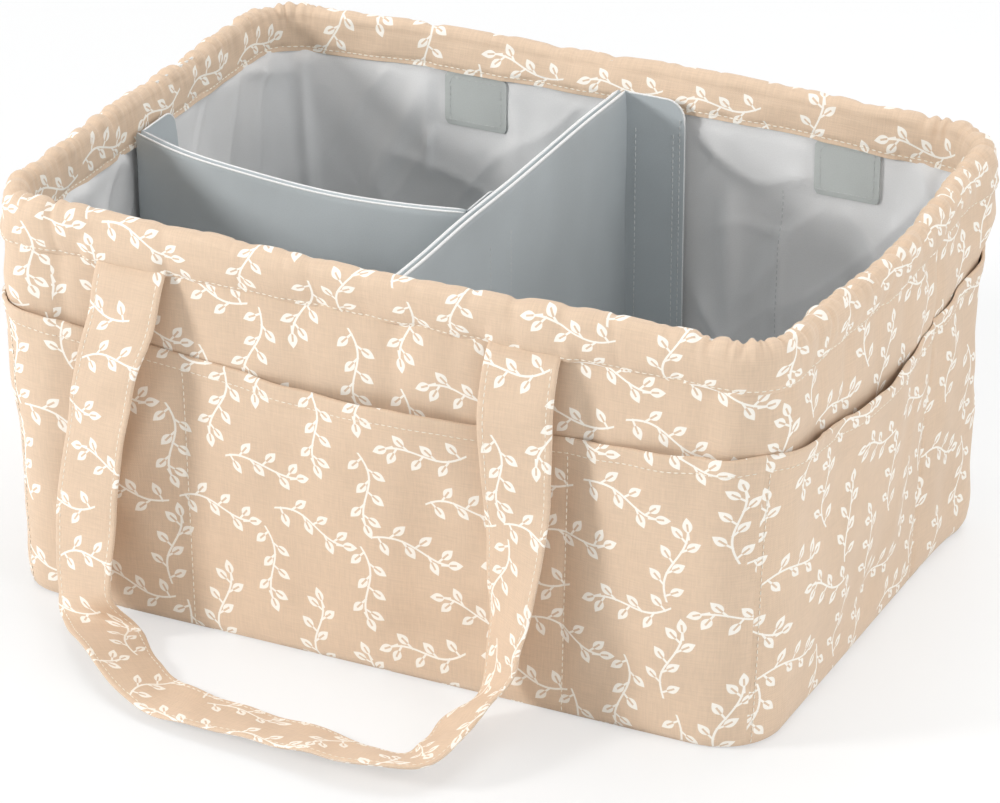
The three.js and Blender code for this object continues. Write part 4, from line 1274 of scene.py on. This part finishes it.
def make_handles():
    half = sizes().strap_width / 2
    seam = half - STRAP_SEAM_INSET
    centre, across, face, length = strap_frame(STRAP_STEPS)
    share = np.linspace(-1, 1, 25)
    aside = half * np.sin(share * math.pi / 2 * 0.999) * 0.35 + half * share * 0.65
    edge = np.sqrt(np.clip(1 - (np.abs(aside) / half) ** 14, 0.02, 1))
    groove = 0.00035 * (bump(seam, 0.0007, aside) + bump(-seam, 0.0007, aside))
    thick = sizes().strap_thickness / 2 * edge - groove
    level = sizes().strap_thickness / 2 - 0.00030
    wave = strap_lift_at(length[:, None], aside[None])
    skins, lines = [], []
    for sign in (1, -1):
        skins.append(centre[:, None] + across[:, None] * aside[None, :, None]
                     + face[:, None] * (wave + sign * thick[None])[..., None])
        for at in (seam, -seam):
            lift = strap_lift_at(length, np.full_like(length, at))
            lines.append((centre + across * at + face * (lift + sign * level)[:, None])[6:-6])
    uv = np.stack(np.broadcast_arrays(aside[None] + 0.2, length[:, None]), -1)
    points, spread = two_skins(skins[0], skins[1], uv, uv + np.array((0.31, 0.17)))
    middle = sum(STRAP_ENDS) / 2
    for wall_name, turn in (("front", np.array((1, 1, 1))), ("back", np.array((-1, -1, 1)))):
        body = f"{wall_name}_handle"
        strap = add_cloth(f"{wall_name}_strap", [loft(points * turn, spread)], "printed_cotton", None,
                          [body, f"{body}_left_end", f"{body}_right_end"], crisp=80)
        stitches = sew(f"{wall_name}_strap_stitches", [line * turn for line in lines],
                       "cotton_thread")
        start, end = (turn * np.array((middle, BASE_LOW.y - out, height)) for out, height in STRAP_BEND)
        for piece in (strap, stitches):
            tuple(start)
            tuple(end)
            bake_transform(piece)


# Dividers

# The sewn lips over a sleeve's top: out from its middle, height over the top
SLEEVE_LIPS = np.array((
    (2.32, -1.5), (2.05, -0.2), (1.45, 0.9), (0.80, 0.55), (0.28, -0.75),
    (-0.28, -0.75), (-0.80, 0.55), (-1.45, 0.9), (-2.05, -0.2), (-2.32, -1.5))) * 0.001
SIDE_ROWS = 84
CAVITY_ROWS = 5
CAP_FACES = 180


def top_wave(length):
    """Small waves of a divider's top."""
    return 0.0009 * ripple(length, 0 * length, 0.075, seed=91)


def sleeve_wave(seed):
    """How far a sleeve's cloth stands off its board, as a function of place and height."""
    def wave(length, height):
        return 0.0002 + 0.0006 * (0.5 + 0.5 * ripple(length, height, 0.06, seed))
    return wave


def sleeve(path, bottom, top, wave, lean=None):
    """A divider's cloth sleeve, open below, with two sewn lips; then the seam and the lips as lines."""
    count = len(path)
    step = unit(np.gradient(path, axis=0))
    out = np.stack((-step[:, 1], step[:, 0]), -1)
    length = travelled(path)
    half = SLEEVE_THICKNESS / 2
    side_height = bottom + (top - 0.0022 - bottom) * np.linspace(0, 1, SIDE_ROWS)
    skin_side = np.concatenate((np.full(SIDE_ROWS, half), SLEEVE_LIPS[:, 0], np.full(SIDE_ROWS, -half)))
    skin_height = np.concatenate((side_height, top + SLEEVE_LIPS[:, 1], side_height[::-1]))
    inner = half - SLEEVE_CLOTH
    cavity_side = np.concatenate((np.full(CAVITY_ROWS, -inner), np.full(CAVITY_ROWS, inner)))
    low_to_top = np.linspace(bottom, top - 0.00085, CAVITY_ROWS)
    cavity_height = np.concatenate((low_to_top, low_to_top[::-1]))
    ends = np.minimum(length, length[-1] - length)
    open_share = smooth(0.0028, 0.0034, ends)[:, None]
    sideways = np.concatenate((np.broadcast_to(skin_side, (count, len(skin_side))),
                               cavity_side[None] * np.maximum(open_share, 0.02)), 1)
    height = np.concatenate((skin_height, cavity_height))
    height = np.broadcast_to(height, (count, len(height)))
    tall = np.clip((height - bottom) / (top - bottom), 0, 1)
    puff = wave(length[:, None], height) * np.sign(sideways) * smooth(0.6, 1.0, np.abs(sideways) / half)
    sideways = sideways + puff * smooth(0.0, 0.1, 1 - tall)
    height = height + top_wave(length[:, None]) * smooth(0.95, 1.0, tall)
    plan = path[:, None] + out[:, None] * sideways[..., None]
    if lean:
        plan = lean(plan, height)
    points = np.concatenate((plan, height[..., None]), -1)
    around = travelled(np.stack((skin_side, skin_height), -1))
    run = np.concatenate((around, np.linspace(around[-1], 0, 2 * CAVITY_ROWS), (0.0,)))
    uv = np.stack(np.broadcast_arrays(length[:, None], run[None]), -1)
    shell = loft_flat_ends(points, uv)
    lines = []
    for aside, drop in ((0.0, -0.0004), (0.00165, 0.0006), (-0.00165, 0.0006)):
        line = np.concatenate((path + out * aside, np.full((count, 1), top + drop)), 1)
        if lean:
            line[:, :2] = lean(line[:, None, :2], line[:, 2:3])[:, 0]
        line[:, 2] += top_wave(length)
        lines.append(line)
    return shell, lines[0], lines[1:]


def edge_tube(line, radius, upright):
    """A thin round edge along a line, closed at both ends; upright is never along the line."""
    step = np.gradient(line, axis=0)
    aside = unit(np.cross(step, upright))
    over = unit(np.cross(aside, step))
    turn = np.linspace(0, 2 * math.pi, 10, endpoint=False)
    thin = np.minimum(1, np.minimum(np.arange(len(line)), np.arange(len(line))[::-1]) / 2 + 0.2)[:, None]
    points = line[:, None] + radius * thin[..., None] * (
        np.cos(turn)[None, :, None] * aside[:, None] + np.sin(turn)[None, :, None] * over[:, None])
    run = np.linspace(0, 2 * math.pi * radius, 11)
    return points, np.stack(np.broadcast_arrays(travelled(line)[:, None], run[None]), -1)


def make_divider_edges(body, lips, flaps, radius):
    """The pale edges along a divider's two lips and round its flaps."""
    shells = [loft(*edge_tube(line, radius, (0, 0, 1.0))) for line in lips]
    shells += [loft(*edge_tube(line, FLAP_EDGE_RADIUS, out)) for line, out in flaps]
    add_cloth(f"{body}_edges", shells, "divider_edge", body)


def loft_flat_ends(points, uv):
    """A shell of section loops whose two ends are closed by fans of thin faces."""
    loops, count = points.shape[:2]
    flat, faces, corners = loft(points, uv)
    sides = (loops - 1) * count
    skin = count - 2 * CAVITY_ROWS
    caps, cap_uv = [], []
    outer = np.linspace(0, skin - 1, CAP_FACES + 1).round().astype(int)
    mates = np.interp(outer, (0, skin - 1), (count - 1, skin)).round().astype(int)
    for end, way in ((0, 1), (loops - 1, -1)):
        for i in range(CAP_FACES):
            face = np.array((outer[i], outer[i + 1], mates[i + 1], mates[i]))[::way]
            caps.append(end * count + face)
            cap_uv.append(uv[end][face])
    return flat, np.vstack((faces[:sides], caps)), np.vstack((corners[:sides], cap_uv))


def flap_corner(travel, width):
    """How far the top of a flap drops towards its rounded free corner."""
    return round_drop(travel - (width - FLAP_CORNER), FLAP_CORNER)


def flap_edge(start, along, width, bottom, top):
    """The line along a flap's top, round its free corner and down its free side."""
    straight = width - FLAP_CORNER
    turn = np.sin(np.linspace(0, 1, 12) * math.pi / 2)
    travel = np.concatenate((np.linspace(0, straight, 14), straight + FLAP_CORNER * turn[1:]))
    height = top - flap_corner(travel, width)
    down = np.linspace(top - FLAP_CORNER, bottom + 0.001, 40)[1:]
    travel = np.concatenate((travel, np.full(len(down), width)))
    plan = np.array(start) + np.array(along, float) * travel[:, None]
    return np.concatenate((plan, np.concatenate((height, down))[:, None]), 1)


def flap_cloth(start, along, out, width, bottom, top, curl=0.0):
    """A flap at a divider's end, with its free upper corner rounded."""
    travel = np.linspace(0, width, 20)
    along, out = np.array(along, float), np.array(out, float)
    bend = curl * smooth(0.3 * width, width, travel)
    path = np.array(start) + along * travel[:, None] + out * bend[:, None]
    top = top - flap_corner(travel, width)
    return upright_cloth(path, out, FLAP_THICKNESS, bottom, top, 60, shift=0.3)


def upright_line(x, y, up):
    return np.stack(np.broadcast_arrays(x, y, up), -1)


def add_divider(body, shells, edges, rims, radius, stitches):
    """Cloth, pale edges and stitches of one divider."""
    cover = add_cloth(f"{body}_cloth", shells, "divider_cloth", body, [f"{body}_cover"])
    make_divider_edges(body, edges, rims, radius)
    sew(f"{body}_stitches", stitches, "grey_thread", body)


def make_cross_divider():
    low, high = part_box("cross_divider_cover")
    half = high.y - FLAP_THICKNESS / 2
    along = np.linspace(-half, half, 118)
    path = np.stack((np.full_like(along, CROSS_X), along), -1)
    wave = sleeve_wave(seed=101)
    shell, groove, edges = sleeve(path, low.z, high.z, wave)
    shells, stitches, rims = [shell], [groove[3:-3]], []
    left = CROSS_X + FLAP_START
    width = high.x - CROSS_X - FLAP_START
    tape_rows = np.linspace(0.030, 0.165, 60)
    edge_rows = np.linspace(0.012, high.z - 0.010, 70)
    for sign in (-1, 1):
        start = (left, sign * half)
        shells.append(flap_cloth(start, (1, 0), (0, -sign), width, low.z, high.z, FLAP_CURL))
        rim = flap_edge(start, (1, 0), width - EDGE_INSET, low.z, high.z - EDGE_INSET)
        rim[:, 1] -= sign * FLAP_CURL * smooth(0.3 * width, width, rim[:, 0] - left)
        rims.append((rim, (0, -sign, 0.0)))
        face = sign * half - sign * 0.00095 - sign * 0.0004
        stitches += [upright_line(x, face, tape_rows) for x in CROSS_HOOK_SEAMS]
        stitches.append(upright_line(high.x - 0.0022, face, edge_rows))
    up = np.linspace(0.030, 0.162, 60)
    for y in CROSS_LOOP_SEAMS:
        stitches.append(upright_line(CROSS_X + SLEEVE_THICKNESS / 2 + wave(y + half + 0 * up, up), y, up))
    add_divider("cross_divider", shells, edges, rims, 0.0007, stitches)


def lean_left(left, right):
    """Moves points out with the left wall, fully there and not at all at the right end."""
    def lean(plan, height):
        share = np.clip((right - plan[..., 0]) / (right - left), 0, 1)
        moved = plan.copy()
        moved[..., 0] -= share * LEAN * height / HEM
        return moved
    return lean


def make_short_divider():
    low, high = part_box("short_divider_cover")
    left, right = SHORT_LEFT + FLAP_THICKNESS / 2, high.x - FLAP_THICKNESS / 2
    start, end = np.array((left, SHORT_ENDS_Y[0])), np.array((right, SHORT_ENDS_Y[1]))
    pull = np.array(((left + right) / 2, SHORT_PULL_Y))
    share = np.linspace(0, 1, 92)[:, None]
    path = (1 - share) ** 2 * start + 2 * share * (1 - share) * pull + share ** 2 * end
    lean = lean_left(SHORT_LEFT, high.x)
    shell, groove, edges = sleeve(path, low.z, high.z, sleeve_wave(seed=111), lean)
    shells, stitches, rims = [shell], [groove[3:-3]], []
    up = np.linspace(0.030, 0.160, 60)
    for (x, y), inward in ((start, 1), (end, -1)):
        foot = (x, y + FLAP_START)
        points, faces, uv = flap_cloth(foot, (0, 1), (inward, 0), SHORT_FLAP, low.z, high.z)
        points[:, :2] = lean(points[:, :2], points[:, 2])
        shells.append((points, faces, uv))
        rim = flap_edge(foot, (0, 1), SHORT_FLAP - EDGE_INSET, low.z, high.z - EDGE_INSET)
        rim[:, :2] = lean(rim[:, :2], rim[:, 2])
        rims.append((rim, (inward, 0, 0.0)))
        for aside in SHORT_HOOK_SEAMS:
            line = upright_line(x + inward * 0.0012, y + aside, up)
            stitches.append(np.concatenate((lean(line[:, :2], up), up[:, None]), 1))
    add_divider("short_divider", shells, edges, rims, 0.0005, stitches)


def make_tapes():
    """Hook and loop tapes that hold the dividers."""
    lean = lean_left(SHORT_LEFT, -0.0025)
    for body, nodes in frame["record"]["behaviour"]["bodies"].items():
        for node in (name for name in nodes if name.endswith("_strip")):
            low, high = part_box(node)
            leaning = high.x - low.x < 0.01 and low.x < -0.1
            if high.y - low.y > 0.01:
                x, thickness, out = (low.x + high.x) / 2, high.x - low.x, (1, 0)
                if leaning:
                    x = SHORT_LEFT - (HOOK_OUT if "hook" in node else LOOP_OUT)
                    thickness = LEANING_TAPE
                along = np.linspace(low.y, high.y, 12)
                path = np.stack((np.full_like(along, x), along), -1)
            else:
                thickness, out = high.y - low.y, (0, 1)
                along = np.linspace(low.x, high.x, 12)
                path = np.stack((along, np.full_like(along, (low.y + high.y) / 2)), -1)
            points, faces, uv = upright_cloth(path, out, thickness * 0.95, low.z, high.z, 40)
            if leaning:
                points[:, :2] = lean(points[:, :2], points[:, 2])
            tape = add_cloth(f"{node}_tape", [(points, faces, uv)], "grip_tape", body, [node])


def make_boards():
    """Gives the boards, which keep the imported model's meshes, their finish."""
    for name, node in frame["nodes"].items():
        if name.endswith("_board"):
            node.data.materials.clear()
            node.data.materials.append(finish("stiffener"))


# Stage

def make_camera():
    data = bpy.data.cameras.new("camera")
    data.lens = 180.0
    data.sensor_width = 36.0
    data.clip_end = 30.0
    camera = link_new("camera", data)
    azimuth, elevation, distance = math.radians(25.79), math.radians(26.29), 2.268
    aim = Vector((-0.0015, -0.0007, 0.0736))
    way = Vector((math.sin(azimuth) * math.cos(elevation), -math.cos(azimuth) * math.cos(elevation),
                  math.sin(elevation)))
    camera.location = aim + way * distance
    camera.rotation_euler = way.to_track_quat("Z", "Y").to_euler()
    bpy.context.scene.camera = camera


def make_floor():
    size = 4.0
    mesh = bpy.data.meshes.new("floor")
    corners = [(-size, -size, 0), (size, -size, 0), (size, size, 0), (-size, size, 0)]
    mesh.from_pydata(corners, [], [(0, 1, 2, 3)])
    floor = link_new("floor", mesh)
    floor.location.z = -0.0005
    material, nodes, shader = new_finish("studio_floor", 0.32, specular=0.35)
    haze = nodes.step(nodes.noise(object_place(nodes), 3.0, 2.0), 0.3, 0.7, 0.90, 0.92)
    tone = nodes.add("ShaderNodeCombineColor", {
        0: haze, 1: nodes.math("MULTIPLY", haze, 1.02), 2: nodes.math("MULTIPLY", haze, 1.035)})
    nodes.put(tone.outputs[0], shader.inputs["Base Color"])
    paper = nodes.add("ShaderNodeEmission", {"Color": (1, 1, 1, 1), "Strength": 1.0})
    seen = nodes.add("ShaderNodeLightPath").outputs
    direct = nodes.math("MAXIMUM", seen["Is Camera Ray"], seen["Is Glossy Ray"])
    share = nodes.math("MULTIPLY", direct, 0.50)
    mixed = nodes.add("ShaderNodeMixShader", {0: share, 1: shader.outputs[0], 2: paper.outputs[0]})
    output = material.node_tree.nodes["Material Output"]
    nodes.put(mixed.outputs[0], output.inputs["Surface"])
    mesh.materials.append(material)


def make_world():
    world = bpy.data.worlds.new("studio")
    bpy.context.scene.world = world
    world.use_nodes = True
    nodes = Nodes(world.node_tree)
    soft = world.node_tree.nodes["Background"]
    soft.inputs["Color"].default_value = (1.0, 0.98, 0.955, 1)
    soft.inputs["Strength"].default_value = 0.43
    white = nodes.add("ShaderNodeBackground", {"Color": (1, 1, 1, 1), "Strength": 1.0})
    seen = nodes.add("ShaderNodeLightPath").outputs
    direct = nodes.math("MAXIMUM", seen["Is Camera Ray"], nodes.math(
        "MAXIMUM", seen["Is Glossy Ray"], seen["Is Transmission Ray"]))
    mixed = nodes.add("ShaderNodeMixShader", {0: direct, 1: soft.outputs[0], 2: white.outputs[0]})
    nodes.put(mixed.outputs[0], world.node_tree.nodes["World Output"].inputs["Surface"])


def make_lamp(name, place, energy, size, colour=(1, 1, 1)):
    data = bpy.data.lights.new(name, "AREA")
    data.energy = energy
    data.size = size
    data.color = colour
    lamp = link_new(name, data)
    lamp.location = place
    lamp.rotation_euler = (Vector(place) - Vector((0, 0, 0.08))).to_track_quat("Z", "Y").to_euler()


def make_stage():
    bpy.context.scene.view_settings.view_transform = "Standard"
    make_camera()
    make_floor()
    make_world()
    make_lamp("key_light", (-1.90, -1.50, 1.05), 40.0, 0.5, (1.0, 0.99, 0.975))
    make_lamp("fill_light", (2.1, -0.75, 1.1), 19.0, 1.2)
    make_lamp("top_light", (0.1, 0.3, 2.2), 16.5, 1.4)
    make_lamp("back_light", (0.5, 2.0, 1.3), 9.0, 1.4)


# Operators, panel and start

class CADDY_OT_stage(bpy.types.Operator):
    """Camera, floor, world and lamps."""

    bl_idname = "caddy.stage"
    bl_label = "Stage"

    def execute(self, context):
        make_stage()
        return {"FINISHED"}


class CADDY_OT_shell(bpy.types.Operator):
    """Outer cover and base cover."""

    bl_idname = "caddy.shell"
    bl_label = "Shell"

    def execute(self, context):
        make_shell()
        return {"FINISHED"}


class CADDY_OT_rim(bpy.types.Operator):
    """Gathered casing and its elastic."""

    bl_idname = "caddy.rim"
    bl_label = "Rim"

    def execute(self, context):
        make_rim()
        return {"FINISHED"}


class CADDY_OT_pockets(bpy.types.Operator):
    """Four pocket panels with their seams."""

    bl_idname = "caddy.pockets"
    bl_label = "Pockets"

    def execute(self, context):
        make_pockets()
        return {"FINISHED"}


class CADDY_OT_lining(bpy.types.Operator):
    """Lining walls, lining floor and the patches behind the straps."""

    bl_idname = "caddy.lining"
    bl_label = "Lining"

    def execute(self, context):
        make_lining()
        return {"FINISHED"}


class CADDY_OT_handles(bpy.types.Operator):
    """Two strap handles with their stitches."""

    bl_idname = "caddy.handles"
    bl_label = "Handles"

    def execute(self, context):
        make_handles()
        return {"FINISHED"}


class CADDY_OT_dividers(bpy.types.Operator):
    """Cross divider and short divider."""

    bl_idname = "caddy.dividers"
    bl_label = "Dividers"

    def execute(self, context):
        make_cross_divider()
        make_short_divider()
        return {"FINISHED"}


class CADDY_OT_tapes(bpy.types.Operator):
    """Hook and loop tapes of the dividers."""

    bl_idname = "caddy.tapes"
    bl_label = "Tapes"

    def execute(self, context):
        make_tapes()
        return {"FINISHED"}


class CADDY_OT_boards(bpy.types.Operator):
    """Finish of the stiffening boards inside the cloth."""

    bl_idname = "caddy.boards"
    bl_label = "Boards"

    def execute(self, context):
        make_boards()
        return {"FINISHED"}


OPERATORS = (
    CADDY_OT_stage, CADDY_OT_shell, CADDY_OT_rim, CADDY_OT_pockets, CADDY_OT_lining,
    CADDY_OT_handles, CADDY_OT_dividers, CADDY_OT_tapes, CADDY_OT_boards,
)


class CADDY_PT_panel(bpy.types.Panel):
    """Sizes, colours and makers of the caddy."""

    bl_idname = "CADDY_PT_panel"
    bl_label = "Diaper caddy"
    bl_space_type = "VIEW_3D"
    bl_region_type = "UI"
    bl_category = "Caddy"

    def draw(self, context):
        for group in (context.scene.caddy_sizes, context.scene.caddy_colours):
            box = self.layout.box()
            for name in group.__annotations__:
                box.prop(group, name)
        for operator in OPERATORS:
            self.layout.operator(operator.bl_idname)


CLASSES = (CaddySizes, CaddyColours, *OPERATORS, CADDY_PT_panel)


def register():
    for item in CLASSES:
        bpy.utils.register_class(item)
    bpy.types.Scene.caddy_sizes = PointerProperty(type=CaddySizes)
    bpy.types.Scene.caddy_colours = PointerProperty(type=CaddyColours)


def unregister():
    del bpy.types.Scene.caddy_colours
    del bpy.types.Scene.caddy_sizes
    for item in reversed(CLASSES):
        bpy.utils.unregister_class(item)


def main():
    register()
    bpy.ops.caddy.stage()
    bpy.ops.caddy.shell()
    bpy.ops.caddy.rim()
    bpy.ops.caddy.pockets()
    bpy.ops.caddy.lining()
    bpy.ops.caddy.handles()
    bpy.ops.caddy.dividers()
    bpy.ops.caddy.tapes()
    bpy.ops.caddy.boards()


if __name__ == "__main__":
    main()
